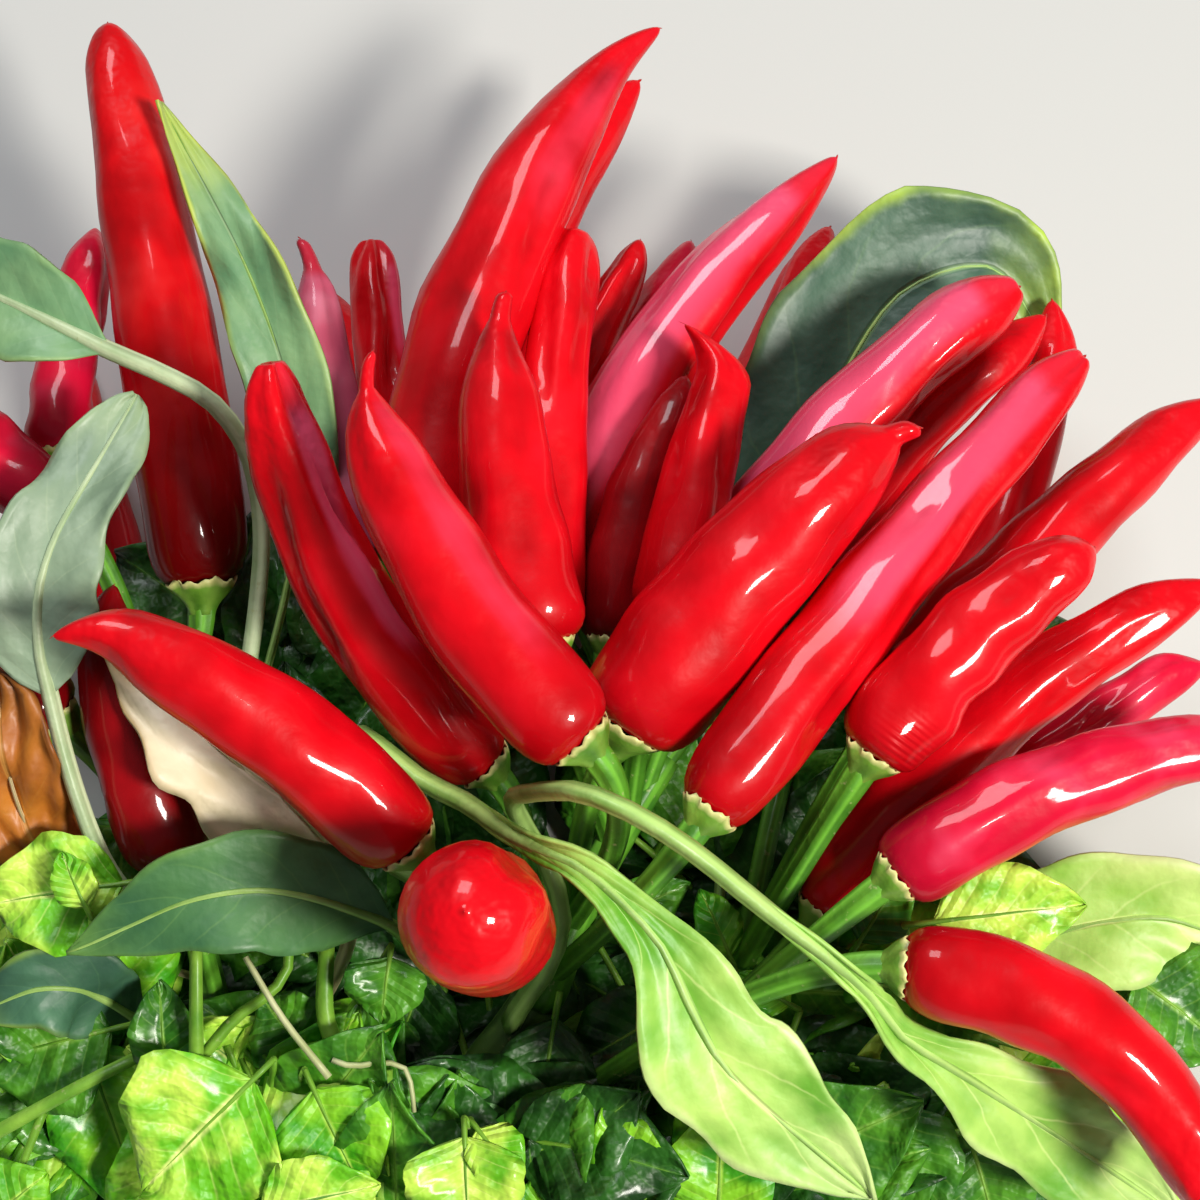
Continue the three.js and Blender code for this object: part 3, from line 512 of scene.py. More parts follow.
def ripe_skin(name, deep, bright, sheen, foot_shade=0.0, top=None):
    """Glossy waxy skin: soft red blotches, a pale painted sheen, and painted shade in the pleats and foot."""
    finish = Finish(name, coat_roughness=0.07, specular_ior_level=0.1)
    blotch, fine = finish.noise(110, 2), finish.noise(700, 2)
    along, crease, painted_sheen = finish.value("along"), finish.value("crease"), finish.value("painted_sheen")
    skin = finish.ramp(blotch, (0.22, deep), (0.55, bright), (0.8, sheen))
    painted_shade = tuple(0.3 * c for c in deep)
    sheen_pink, dry_red = (0.8, 0.08, 0.17), (0.3, 0.03, 0.02)
    # Painted sheen: pale pink over the side where the sky light would reflect, broken up by the blotches.
    painted_sheen = (painted_sheen + blotch * 0.5 - 0.2).between(0.15, 0.65) * painted_sheen
    skin = finish.mix(painted_sheen, skin, sheen_pink)
    # Painted shade in the pleats, as deep as each crease is.
    skin = finish.mix(crease * 0.55, skin, painted_shade)
    # Painted shade at the foot, near the calyx: longer and darker on a skin with a shaded foot.
    skin = finish.mix((1 - along.between(0.02, 0.34 + 0.4 * foot_shade)) * (0.35 + foot_shade), skin, painted_shade)
    skin = finish.mix(along.between(0.86, 0.91) * 0.8, skin, top or bright)
    skin = finish.mix(along.between(0.997, 1.008) * 0.7, skin, dry_red)
    wrinkle = finish.noise(300, 2) * (0.2 + along.between(0.6, 0.95) * 1.1)
    rings = finish.sum("SINE", along * RING_WAVES) * finish.value("ringed")
    finish.bump(blotch * 0.9 + wrinkle + fine * 0.1 + rings * 0.2, 0.001, 0.5)
    return finish.paint(base_color=skin, roughness=0.3 + fine * 0.2, coat_weight=0.36 + painted_sheen * 0.4)


skins = {
    "ripe": ripe_skin("ripe red skin", (0.46, 0.001, 0.004), (0.7, 0.002, 0.008), (0.78, 0.006, 0.016)),
    "pink": ripe_skin("rose red skin", (0.46, 0.002, 0.018), (0.7, 0.006, 0.04), (0.8, 0.05, 0.12)),
    "mauve": ripe_skin("mauve skin", (0.34, 0.03, 0.08), (0.5, 0.09, 0.15), (0.62, 0.2, 0.28),
                       top=(0.42, 0.008, 0.02)),
    # Painted shade: a darker copy of the ripe skin for fruits that lie in shade.
    "dark": ripe_skin("red skin in painted shade", (0.16, 0.001, 0.003), (0.3, 0.002, 0.005), (0.4, 0.006, 0.01)),
    # A copy whose lower part is painted in deep shade.
    "foot_shade": ripe_skin("red skin with painted shade at the foot", (0.36, 0.001, 0.003), (0.62, 0.003, 0.006),
                           (0.74, 0.02, 0.02), foot_shade=0.6),
}
# The dark kind is that painted shade, for the fruits set among and behind the others.
SKIN_OF = {
    "pink": ["behind_pink", "right_level", "right_small", "left_rose", "left_edge"],
    "mauve": ["left_mauve"],
    "dark": ["left_shaded", "left_dark", "inner"],
    "foot_shade": ["left_tall"],
}
skin_of = {chilli: kind for kind, chillies in SKIN_OF.items() for chilli in chillies}

chilli_model = turned("chilli_model", 32, CHILLI_BUILD, tip=True)
along, angle = points_of(chilli_model)[:, 2], angle_round(points_of(chilli_model))
fruits = {}
for number, name in enumerate(sorted(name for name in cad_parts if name.startswith("chilli_"))):
    which = name.removeprefix("chilli_")
    look = CHILLI_LOOKS.get(which, {})
    line, girth = chilli_line(rings_of(name))
    way = Way(line, toward_viewer)
    swelling, shape = pinched(look, random.Random(FIRST_FRUIT_SEED + number))
    piece = laid_along(chilli_model, name + "_skin", way, lambda share: girth, shape)
    marked(piece, "along", np.minimum(along, NUB_START) if look.get("red_nub") else along)
    # How deep each point lies in a pleat, for the painted shade there.
    marked(piece, "crease", np.clip(4 * (1 - swelling(along, angle)) - 0.14, 0, 1))
    marked(piece, "ringed", look.get("rings", 0) * hump(along, 0.1, 0.06) * hump(angle, 1, 0.6))
    # The painted sheen band: a reflection of the sky painted in pale pink on one side of the fruit.
    degrees, wide, strength, start = look.get("painted_sheen", (90, 30, 0, 0))
    side = hump(turn_from(degrees, angle), 0, math.radians(wide), 4)
    marked(piece, "painted_sheen", strength * side * onset(along, start, 0.15))
    piece.data.materials.append(skins[skin_of.get(which, "ripe")])
    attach(piece, "root")
    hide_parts(name)
    fruits[name] = {"way": way, "girth": girth, "butt": way.place(0), "into": Vector(way.ahead[0])}

# ---- Spurs, stalks and calyces
# Each limb ends in a crowded spur, and from it every chilli stands on a ribbed green stalk. The
# stalk widens into the calyx, a green cup with pale teeth that holds the fruit's butt.
SPURS = {
    "right": dict(on="limb_right", share=1, way=[(-2, -40, -11), (9, -22, -15)], girth=(6.6, 4.6)),
    "left": dict(on="limb_left", share=1, way=[(-57, -50, -22), (-63, -24, -24)], girth=(4.8, 3.8)),
    "far_right": dict(on="limb_right", share=0.3, way=[(5, -68, -12), (21, -48, -9)], girth=(4.4, 3.8)),
}
STALK_GIRTH = 3.4
STALK_PROFILE = (0.9, 0.86, 0.9, 1.1, 1.15)
STALK_REACH = 28
STALK_SAG = 0.08
STALK_LEAD = 0.25
CALYX_LENGTH = 4.5
CALYX_HOLD = 0.6
CALYX_GIRTH = 0.58
CALYX_RIBS = 5
CALYX_BUILD = [
    (0, 0.42), (0.12, 0.45), (0.28, 0.53), (0.42, 0.64), (0.54, 0.77), (0.66, 0.9), (0.78, 1), (0.9, 1.08),
    (1, 1.14), (0.99, 1.05), (0.86, 0.98), (0.74, 0.86), (0.66, 0.6), (0.64, 0.2),
]
for name, spur in SPURS.items():
    grow_limb(name, **spur)


def spur_of(fruit):
    """The spur whose packed stalks reach closest to the fruit's butt."""
    return min(SPURS, key=lambda name: stalk_trees[name].find_nearest(fruit["butt"])[3])


def tree_of(node):
    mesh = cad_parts[node].data
    return BVHTree.FromPolygons([v.co for v in mesh.vertices], [p.vertices for p in mesh.polygons])


stalk_trees = {name: tree_of("stalks_" + name) for name in SPURS}


def stalk_line(fruit, spur):
    """A fruit's stalk leaves the spur below the fruit and comes up into its butt."""
    up = drawn(0, 1, 0).normalized()
    height = lambda place: (place - origin).dot(up)
    way, into = limbs[spur]["way"], fruit["into"]
    foot, head = height(way.place(0)), height(way.place(1))
    level = (height(fruit["butt"]) - STALK_REACH / 1000 - foot) / (head - foot)
    start = way.place(min(max(level, 0.1), 0.95))
    end = fruit["butt"] - into * JOINT_GAP / 1000
    span = (end - start).length
    leaving = start.lerp(end, 0.35) - into * STALK_SAG * span
    return interpolate_bezier(start, leaving, end - into * STALK_LEAD * span, end, 40)


stalk_model = ridged_rod("stalk_model", 20, 30, ridges=5, depth=0.1)
calyx_model = turned("calyx_model", 60, CALYX_BUILD, CALYX_RIBS, 0.05)
cup = points_of(calyx_model)
angle = angle_round(cup)
teeth = np.cos(CALYX_RIBS * angle)
lip = onset(cup[:, 2], 0.7, 0.3)
cup[:, 2] += lip * (0.16 * np.maximum(teeth, 0) ** 3 + 0.05 * np.sin(13 * angle) - 0.05)
cup[:, :2] *= (1 + lip * 0.05 * np.sin(9 * angle + 1))[:, None]
calyx_model.data.vertices.foreach_set("co", cup.ravel())
marked(calyx_model, "rim", onset(lip, 0.45, 0.3))
marked(calyx_model, "ridge", 0.5 + 0.5 * teeth)

stalk_skin = green_wood("ribbed green stalk", (0.03, 0.15, 0.006), (0.12, 0.36, 0.02))
calyx_finish = Finish("green calyx with a cream rim", coat_weight=0.2, coat_roughness=0.2)
patch = calyx_finish.noise(260)
cup_skin = calyx_finish.ramp(patch, (0.3, (0.05, 0.17, 0.01)), (0.7, (0.16, 0.36, 0.03)))
cup_skin = calyx_finish.mix(calyx_finish.value("ridge") * 0.35, cup_skin, (0.3, 0.48, 0.08))
cup_skin = calyx_finish.mix(calyx_finish.value("rim") * 0.9, cup_skin, (0.78, 0.72, 0.3))
calyx_finish.bump(patch + calyx_finish.noise(1200, 2) * 0.4, 0.0004, 0.5)
calyx_skin = calyx_finish.paint(base_color=cup_skin, roughness=0.36 + patch * 0.2)

for spur in SPURS:
    stalks, cups = [limb_skin(spur)], []
    for name, fruit in fruits.items():
        if spur_of(fruit) != spur:
            continue
        way = Way(stalk_line(fruit, spur), toward_viewer)
        neck = 1 - CALYX_LENGTH / 1000 / way.length
        girths = np.array(STALK_PROFILE) * STALK_GIRTH / 1000
        stops = [0, neck * 0.4, neck * 0.8, neck, 1]
        stalks.append(laid_along(stalk_model, "stalk", way, lambda share: np.interp(share, stops, girths)))
        hold = fruit["butt"] + fruit["into"] * CALYX_HOLD / 1000
        cup_way = Way(smooth_line([way.place(neck), fruit["butt"], hold]))
        cups.append(laid_along(calyx_model, "calyx", cup_way, lambda share: CALYX_GIRTH * fruit["girth"]))
    for kind, pieces, skin in (("stalks", stalks, stalk_skin), ("calyces", cups, calyx_skin)):
        piece = joined(f"{kind}_{spur}_skin", pieces)
        piece.data.materials.clear()
        piece.data.materials.append(skin)
        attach(piece, "root")
        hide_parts("stalks_" + spur)

# ---- Single leaves
# Leaves on their own long stalks, which stand among the fruit: a thin blade, folded along a pale
# midrib that the grooved stalk runs on into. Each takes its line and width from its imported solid.
LEAF_STALK_GIRTH = 2.3
LEAF_STALK_PROFILE = (1, 0.85, 0.8, 0.5, 0.25)
BLADE_RINGS = 8
RING_SIDES = 8
BLADE_THICK = 0.0005
BLADE_FOLD = 0.22
SIDE_VEINS = 6
OUTLINES = {
    "oval": ([0, 0.04, 0.12, 0.2, 0.3, 0.4, 0.5, 0.62, 0.72, 0.82, 0.9, 0.96, 1],
             [0.06, 0.2, 0.52, 0.78, 0.95, 1, 0.98, 0.86, 0.7, 0.5, 0.3, 0.14, 0.02]),
    "winged": ([0, 0.12, 0.24, 0.34, 0.44, 0.54, 0.66, 0.78, 0.88, 0.95, 1],
               [0.12, 0.16, 0.2, 0.26, 0.42, 0.76, 1, 0.9, 0.62, 0.32, 0.03]),
    "lobed": ([0, 0.05, 0.14, 0.28, 0.42, 0.52, 0.6, 0.7, 0.8, 0.9, 0.97, 1],
              [0.1, 0.48, 0.86, 1, 0.96, 0.84, 0.72, 0.74, 0.7, 0.52, 0.3, 0.06]),
    "broad": ([0, 0.04, 0.12, 0.2, 0.3, 0.4, 0.5, 0.6, 0.68, 0.77, 0.86, 0.94, 1],
              [0.06, 0.25, 0.6, 0.86, 1, 0.96, 0.99, 0.88, 0.9, 0.68, 0.46, 0.26, 0.03]),
    "round": ([0, 0.04, 0.12, 0.25, 0.45, 0.65, 0.8, 0.92, 0.98, 1],
              [0.1, 0.5, 0.86, 1, 0.96, 1, 0.92, 0.66, 0.3, 0.05]),
}


def over_blade(finish, patch, lean, waver):
    """How far a place on a blade is along it and off its midrib, and a comb of its slanting veins."""
    where = finish.node("ShaderNodeUVMap", {"uv_map": "blade"})
    along, across = (
        finish.node("ShaderNodeSeparateXYZ", inputs={"Vector": where}, output=axis) for axis in "XY")
    off = finish.sum("ABSOLUTE", across * 2 - 1)
    return along, off, finish.sum("PINGPONG", (along - off * lean + patch * waver) * SIDE_VEINS, 0.5)


def blade_finish(name, dark, light, vein, edge, veined=0.2):
    """A leaf's skin: mottled between two greens, faint side veins, a paler midrib and edge."""
    finish = Finish(name, coat_weight=0.12, coat_roughness=0.3)
    patch, broad, fine = finish.noise(120), finish.noise(45, 2), finish.noise(600, 2)
    along, off, comb = over_blade(finish, patch, 0.22, 0.07)
    side_veins = (1 - comb.between(0.0, 0.05)) * (1 - off.between(0.55, 0.95))
    middle = 1 - off.between(0.015, 0.06)
    skin = finish.ramp(patch * 0.5 + broad * 0.5, (0.36, dark), (0.64, light))
    rim = (off + patch * 0.3).between(0.98, 1.18) * (0.2 + along.between(0.35, 0.75) * 0.8)
    skin = finish.mix(rim * (0.4 + broad.between(0.38, 0.56) * 0.6), skin, edge)
    skin = finish.mix((along + patch * 0.2).between(0.84, 1.1) * 0.75, skin, edge)
    skin = finish.mix(side_veins * veined, skin, vein)
    skin = finish.mix(middle, skin, vein)
    finish.bump(comb * 0.35 - middle * 0.4 + patch * 1.3 + fine * 0.2, 0.0012, 0.5)
    return finish.paint(base_color=skin, roughness=0.4 + fine * 0.2)


blades = {
    "leaf": blade_finish("dark green leaf", (0.03, 0.12, 0.05), (0.09, 0.24, 0.07), (0.2, 0.38, 0.1),
                         (0.14, 0.3, 0.05)),
    "blue": blade_finish("blue-green leaf", (0.02, 0.07, 0.045), (0.07, 0.19, 0.1), (0.1, 0.24, 0.1),
                         (0.2, 0.34, 0.05)),
    "broad": blade_finish("broad blue-grey leaf", (0.03, 0.09, 0.055), (0.085, 0.18, 0.11), (0.14, 0.28, 0.1),
                          (0.42, 0.62, 0.05)),
    "folded": blade_finish("yellow-green leaf", (0.12, 0.38, 0.02), (0.5, 0.76, 0.16), (0.7, 0.84, 0.3),
                           (0.62, 0.78, 0.3), 0.45),
    "grey": blade_finish("grey-green leaf", (0.08, 0.23, 0.11), (0.23, 0.4, 0.18), (0.26, 0.4, 0.2),
                         (0.5, 0.6, 0.08)),
    "underside": blade_finish("grey-green underside", (0.18, 0.27, 0.17), (0.3, 0.4, 0.27), (0.38, 0.48, 0.3),
                              (0.3, 0.42, 0.22), 0.25),
    "pale": blade_finish("pale green leaf", (0.22, 0.5, 0.03), (0.66, 0.86, 0.26), (0.76, 0.88, 0.34),
                         (0.72, 0.84, 0.4), 0.3),
    "cream": blade_finish("dry cream leaf", (0.74, 0.62, 0.38), (0.95, 0.86, 0.64), (0.9, 0.8, 0.55),
                          (0.45, 0.27, 0.05)),
    "rust": blade_finish("withered rusty leaf", (0.24, 0.05, 0.008), (0.62, 0.22, 0.02), (0.5, 0.22, 0.04),
                         (0.2, 0.06, 0.01)),
}
petiole_skins = {
    "green": green_wood("pale leaf stalk", (0.16, 0.32, 0.05), (0.36, 0.54, 0.15)),
    "grey": green_wood("grey-green leaf stalk", (0.3, 0.42, 0.2), (0.5, 0.6, 0.36)),
    "dry": green_wood("dry leaf stalk", (0.4, 0.33, 0.14), (0.6, 0.52, 0.3)),
}
# What a leaf's upper and under faces are, the waves along its edge and the puckers between its
# veins in millimetres, how far its edges roll back, how ragged they are, how much wider than its
# solid it is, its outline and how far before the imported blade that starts, and its stalk's kind and
# how much thicker than usual that is.
LEAF_LOOKS = {
    "grey_left": dict(upper="underside", under="leaf", wave=1.6, pucker=0.3, wide=1.1, outline="lobed",
                      stalk="grey", girth=1.2),
    "tall_left": dict(upper="grey", under="underside", wave=1.8, pucker=0.3, wide=0.85, girth=0.6),
    "left_edge": dict(upper="grey", under="underside", wave=0.8, pucker=0.15, girth=1.25, stalk="grey"),
    "broad_back": dict(upper="broad", under="underside", wave=1.9, pucker=0.5, roll=0.2, outline="broad",
                       girth=0.8),
    "cream": dict(upper="cream", under="cream", wave=1.8, pucker=0.9, stalk="dry", ragged=0.1),
    "rust": dict(upper="rust", under="rust", wave=2.6, pucker=1.6, stalk="dry", outline="round", girth=0.5),
    "dark_left": dict(upper="leaf", under="underside", wave=0.5, pucker=0.12),
    "blue_left": dict(upper="blue", under="underside", wave=0.5, pucker=0.15),
    "arching": dict(upper="folded", under="underside", wave=1.3, pucker=0.5, wide=1.15, outline="winged",
                    sooner=0.21, girth=1.4, ragged=0.08),
    "trailing": dict(upper="folded", under="underside", wave=1.4, pucker=0.5, wide=1.08, outline="winged",
                     sooner=0.16, girth=1.25, ragged=0.1),
    "pale_right": dict(upper="pale", under="underside", wave=1.6, pucker=0.5),
}


def flat_blade(name, across, along):
    """A flat blade modelled 1 wide and 1 long from its foot, and its points."""
    bpy.ops.mesh.primitive_grid_add(x_subdivisions=across, y_subdivisions=along, size=1)
    model = bpy.context.active_object
    model.name = name
    bpy.ops.object.mode_set(mode="EDIT")
    bpy.ops.mesh.select_all(action="SELECT")
    bpy.ops.transform.translate(value=(0, 0.5, 0))
    bpy.ops.object.mode_set(mode="OBJECT")
    model.data.uv_layers[0].name = "blade"
    model.data.shade_smooth()
    points = points_of(model)
    for loop, spot in zip(model.data.loops, model.data.uv_layers["blade"].data):
        spot.uv = (points[loop.vertex_index][1], points[loop.vertex_index][0] + 0.5)
    return model, points


blade_model, blade_points = flat_blade("blade_model", 16, 44)
petiole_model = ridged_rod("petiole_model", 14, 40, ridges=3, depth=0.16)


def lay_blade(name, way, start, width, look, seed):
    """A copy of the flat blade laid on a way from the share start, folded, waved and puckered."""
    along, across = blade_points[:, 1], blade_points[:, 0] * 2
    share, off = start + (1 - start) * along, np.abs(across)
    half = width / 2 * np.interp(along, *OUTLINES[look.get("outline", "oval")])
    ragged = 1 + look.get("ragged", 0.03) * np.sin(31 * along + seed) * np.sign(across) * off ** 3
    wave, roll = look["wave"] / 1000, look.get("roll", 0) / 1000
    rise = BLADE_FOLD * off * half + wave * np.sin(9 * along + 2 * np.sign(across) + seed) * off ** 2
    rise += wave / 2 * np.sin(23 * along + 5 * np.sign(across) + seed) * off ** 3
    rise += look["pucker"] / 1000 * np.sin(17 * along - 4 * off + seed) * np.sin(7 * across + seed)
    rise += roll * onset(off, 0.7, 0.3) ** 2
    rise *= np.minimum(1, 5 * along)
    places = way.at(share) + way.at(share, "side") * (across * half * ragged)[:, None]
    places += way.at(share, "up") * rise[:, None]
    return copied(blade_model, name, places)


def thicken(piece, thick, upper, under):
    """Gives a blade its thickness, with its upper skin on one face and its under skin on the other."""
    piece.data.materials.append(upper)
    piece.data.materials.append(under)
    choose(piece)
    solid = piece.modifiers.new("thickness", "SOLIDIFY")
    solid.thickness, solid.offset, solid.material_offset = thick, 0, 1
    bpy.ops.object.modifier_apply(modifier=solid.name)
    return piece


def leaf_way(rings):
    """The midrib's places through the rings of a leaf, and its blade's width."""
    half = RING_SIDES // 2
    spans = [np.linalg.norm(ring[i] - ring[i + half]) for ring in rings[-BLADE_RINGS:] for i in range(half)]
    return [Vector(ring.mean(axis=0)) for ring in rings], max(spans)


for number, (which, look) in enumerate(LEAF_LOOKS.items()):
    name = "leaf_" + which
    middles, width = leaf_way(rings_of(name))
    lengths = np.cumsum([0] + [(b - a).length for a, b in zip(middles, middles[1:])])
    start = lengths[-BLADE_RINGS] / lengths[-1] - look.get("sooner", 0)
    way = Way(smooth_line(middles), toward_viewer, faced_from=start)
    blade = lay_blade(name + "_blade", way, start, width * look.get("wide", 1), look, number)
    thicken(blade, BLADE_THICK, blades[look["upper"]], blades[look["under"]])
    girths = np.array(LEAF_STALK_PROFILE) * look.get("girth", 1) * LEAF_STALK_GIRTH / 1000
    stops = [0, 0.1, start, start + 0.4 * (1 - start), 1]
    rib = laid_along(petiole_model, name + "_stalk", way, lambda share: np.interp(share, stops, girths))
    rib.data.materials.append(petiole_skins[look.get("stalk", "green")])
    for piece in (blade, rib):
        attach(piece, "root")
        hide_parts(name)

# ---- Leafy shoots
# Masses of young shoots below and behind the fruit. Each grows by one rule from a stem on its limb:
# shoots that leave it turned by the golden angle, then twigs, and crinkled soft leaves on them. A
# mass keeps within its reach to the right, up and toward the viewer from its heart.
MASSES = {
    "low_left": dict(on="limb_left", share=0.6, heart=(-46, -74, -4), reach=(20, 20, 12),
                     greens=("bright", "fresh", "mid")),
    "far_left": dict(on="limb_left", share=0.9, heart=(-76, -60, -10), reach=(19, 27, 14),
                     greens=("fresh", "bright", "mid")),
    # The low middle mass is mostly deep green: painted shade where the fruit hangs over it.
    "low_middle": dict(on="main_stem", share=0.45, heart=(-10, -80, -2), reach=(22, 18, 12),
                       greens=("deep", "mid", "deep")),
    "low_right": dict(on="main_stem", share=0.75, heart=(24, -80, -10), reach=(24, 18, 14),
                      greens=("deep", "mid", "fresh")),
    "far_right": dict(on="far_right", share=0.25, heart=(60, -68, -18), reach=(32, 26, 17),
                      greens=("bright", "fresh", "mid")),
    # The two rear masses, in deep and mid greens, stand behind the fruit as painted shade in the plant's dark
    # heart.
    "rear_left": dict(on="limb_left", share=0.8, heart=(-42, -25, -33), reach=(34, 38, 15),
                      greens=("deep", "mid", "deep")),
    "rear_right": dict(on="far_right", share=0.75, heart=(34, -23, -35), reach=(34, 38, 15),
                       greens=("deep", "mid", "deep")),
}
# The largest leaves of a mass: where each starts and ends, how wide it is and which green.
LARGE_LEAVES = {
    "low_left": [
        ((-57, -65.6, 2), (-58.3, -50.3, 2), 9, "mid"), ((-38, -62.2, -3), (-45.5, -53.6, -3), 12, "mid"),
        ((-42.6, -60, 8), (-59.7, -77.2, 8), 24, "bright"),
        ((-38.7, -61.6, 5), (-30.8, -78, 5), 16, "fresh"),
        ((-46.6, -79.5, 9), (-28.4, -75.6, 9), 12, "bright"),
        ((-27.4, -45.4, 4), (-28.7, -55.5, 4), 11, "mid"),
    ],
    "far_left": [
        ((-59.2, -36.8, 4), (-80.9, -40.1, 4), 16, "bright"),
        ((-65.9, -41.3, 8), (-69.8, -32.7, 8), 6, "bright"),
        ((-62.2, -56.8, -6), (-83, -61.9, -6), 20, "mid"),
        ((-82.1, -83.5, 2), (-72.2, -74.9, 2), 14, "fresh"),
    ],
    "low_middle": [
        ((-17.5, -66.8, 10), (-17, -82, 10), 16, "bright"),
        ((-16.8, -67.2, 9), (-10.5, -75, 9), 8, "bright"), ((6.3, -79, 6), (0.7, -66, 6), 10, "fresh"),
        ((15.2, -84, 6), (15.9, -65.6, 6), 15, "fresh"), ((-5.4, -52.8, -3), (-9.4, -76.1, -3), 14, "deep"),
        ((-9.2, -83, 4), (-5.8, -74.3, 4), 6, "fresh"), ((12.2, -54, -4), (-4.6, -63.5, -4), 13, "deep"),
        ((5.4, -62.1, -4), (-5.4, -68.9, -4), 11, "deep"),
        # The deep leaves set 20 mm back are dark sheets that stand in for the shade under the fruit.
        ((4.3, -64.9, -1), (-2.9, -64.5, -1), 5, "fresh"), ((-8, -46, -20), (2, -66, -20), 18, "deep"),
        ((-6, -52, -20), (14, -64, -18), 16, "deep"), ((-16, -56, -20), (-10, -74, -20), 16, "deep"),
        ((10, -52, -20), (26, -64, -20), 16, "deep"), ((-24, -50, -20), (-30, -68, -20), 16, "deep"),
    ],
    "low_right": [
        ((38.3, -65, 0), (43.8, -84, 0), 15, "mid"), ((49.3, -71.2, -2), (53.4, -86, -2), 15, "mid"),
        ((8, -72, 2), (2, -86, 4), 13, "mid"), ((20, -68, 0), (26, -84, 2), 15, "deep"),
        ((-1.4, -45.2, -9), (12.3, -39, -9), 8, "mid"), ((18.4, -50.3, -6), (13.6, -39.4, -6), 7, "fresh"),
        ((27.2, -55.8, -6), (18.4, -51, -6), 6, "fresh"),
    ],
    "far_right": [
        ((40.5, -43.2, 1), (64.5, -40.5, 1), 14, "bright"),
        ((33.6, -47.6, -2), (40.9, -36.2, -2), 9, "mid"),
        ((51.7, -61.7, -2), (71.1, -67.8, -2), 14, "fresh"),
        ((69.8, -49.3, -8), (84.2, -60.2, -8), 19, "mid"),
        ((64.9, -71.6, -4), (74.3, -83.1, -4), 16, "fresh"),
        ((51, -58.3, 2), (64.3, -62.3, 2), 9, "bright"),
    ],
}
# The stems that show among them: where each runs, how thick it is and of which kind.
SHOWN_STEMS = {
    "low_left": [
        ([(-52.9, -62, 5), (-52.6, -54, 7), (-52.6, -45, 7)], 2.2, "green"),
        ([(-52.6, -60.5, 4), (-48, -55, 4), (-43.4, -51.7, 4), (-41.3, -49, 3), (-41.3, -43, 2)], 1.8,
         "green"),
        ([(-34.7, -61.1, 12), (-40.6, -53.6, 12), (-45.4, -45.7, 12)], 1.1, "dry"),
        ([(-33.9, -61.2, 2), (-36.3, -55.5, 2), (-36.3, -46, 1)], 2.9, "green"),
        ([(-35, -60.1, 6), (-32.4, -60.9, 6), (-28.1, -60.4, 6), (-25.5, -61.2, 6), (-24.7, -63.3, 6),
          (-24.3, -66.9, 6)], 0.9, "dry"),
        ([(-29.2, -84, 3), (-28.3, -69.5, 5), (-28.1, -61.6, 5)], 2.6, "green"),
    ],
    "far_left": [
        ([(-82, -71.5, 4), (-64.9, -62.1, 4), (-60, -60, 2)], 2.2, "green"),
        ([(-73.3, -67.4, 4), (-76.3, -75, 4)], 1.4, "green"),
    ],
}
GOLDEN_TURN = 2.4
FIRST_MASS_SEED = 110
TWIG_GIRTH = 2.4
SHOOTS = 10
TWIGS_A_SHOOT = 3
LEAVES_A_TWIG = 4
SHOOT_TRIES = 9
LEAF_TRIES = 12
LEAF_LENGTH = 31
LEAF_WIDTH = 18
LEAF_THICK = 0.0003
LEAF_FROM = 0.16
STEM_STEPS = (0, 0.05, -0.05, 0.1, -0.1, 0.15, -0.15, 0.2, -0.2, 0.3, -0.3, 0.4, -0.4)
STEPS_BACK = (0, -2, -4, -6, -8, 2, 4)
STEM_ROOM, TWIG_ROOM, LEAF_ROOM, LARGE_LEAF_ROOM = 0.0012, 0.0009, 0.0012, 0.001
GREENS = {
    "bright": ((0.14, 0.52, 0.008), (0.6, 0.9, 0.1), (0.8, 0.92, 0.26)),
    "fresh": ((0.05, 0.34, 0.006), (0.26, 0.66, 0.02), (0.5, 0.78, 0.1)),
    "mid": ((0.025, 0.15, 0.006), (0.09, 0.32, 0.015), (0.22, 0.46, 0.06)),
    # deep: painted shade, the darkest green, for leaves in the shaded heart of the plant.
    "deep": ((0.006, 0.045, 0.003), (0.022, 0.13, 0.008), (0.06, 0.2, 0.02)),
}


def soft_green(name, dark, light, vein):
    """A crinkled young leaf: two greens in patches and a paler midrib with fine side veins."""
    finish = Finish(name, coat_weight=0.22, coat_roughness=0.16)
    patch, fine = finish.noise(150), finish.noise(420, 2)
    _, off, comb = over_blade(finish, patch, 0.25, 0.06)
    side_veins = (1 - comb.between(0, 0.08)) * (1 - off.between(0.6, 1))
    skin = finish.ramp(patch, (0.4, dark), (0.6, light))
    skin = finish.mix(side_veins * 0.3, skin, vein)
    skin = finish.mix((1 - off.between(0.02, 0.09)) * 0.85, skin, vein)
    finish.bump(patch * 1.4 + comb * 0.5 + fine * 0.7, 0.002, 0.6)
    return finish.paint(base_color=skin, roughness=0.34 + fine * 0.25)


greens = {name: soft_green(f"{name} green shoot leaf", *colours) for name, colours in GREENS.items()}
twig_skins = {
    "green": green_wood("green shoot", (0.08, 0.26, 0.01), (0.26, 0.5, 0.05)),
    "dry": green_wood("pale dry shoot", (0.34, 0.4, 0.14), (0.6, 0.62, 0.34)),
}

solid_points, solid_faces = [], []
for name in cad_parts:
    if not name.startswith("foliage_"):
        mesh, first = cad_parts[name].data, len(solid_points)
        solid_points += [point.co for point in mesh.vertices]
        solid_faces += [[first + i for i in face.vertices] for face in mesh.polygons]
solids = BVHTree.FromPolygons(solid_points, solid_faces)


def is_clear(places, radius):
    """Whether balls at some places are clear of the floor and of every limb, fruit and single leaf."""
    for place in places:
        hit, normal, _, gap = solids.find_nearest(place)
        if place.z < radius or gap < radius or (place - hit).dot(normal) < 0:
            return False
    return True


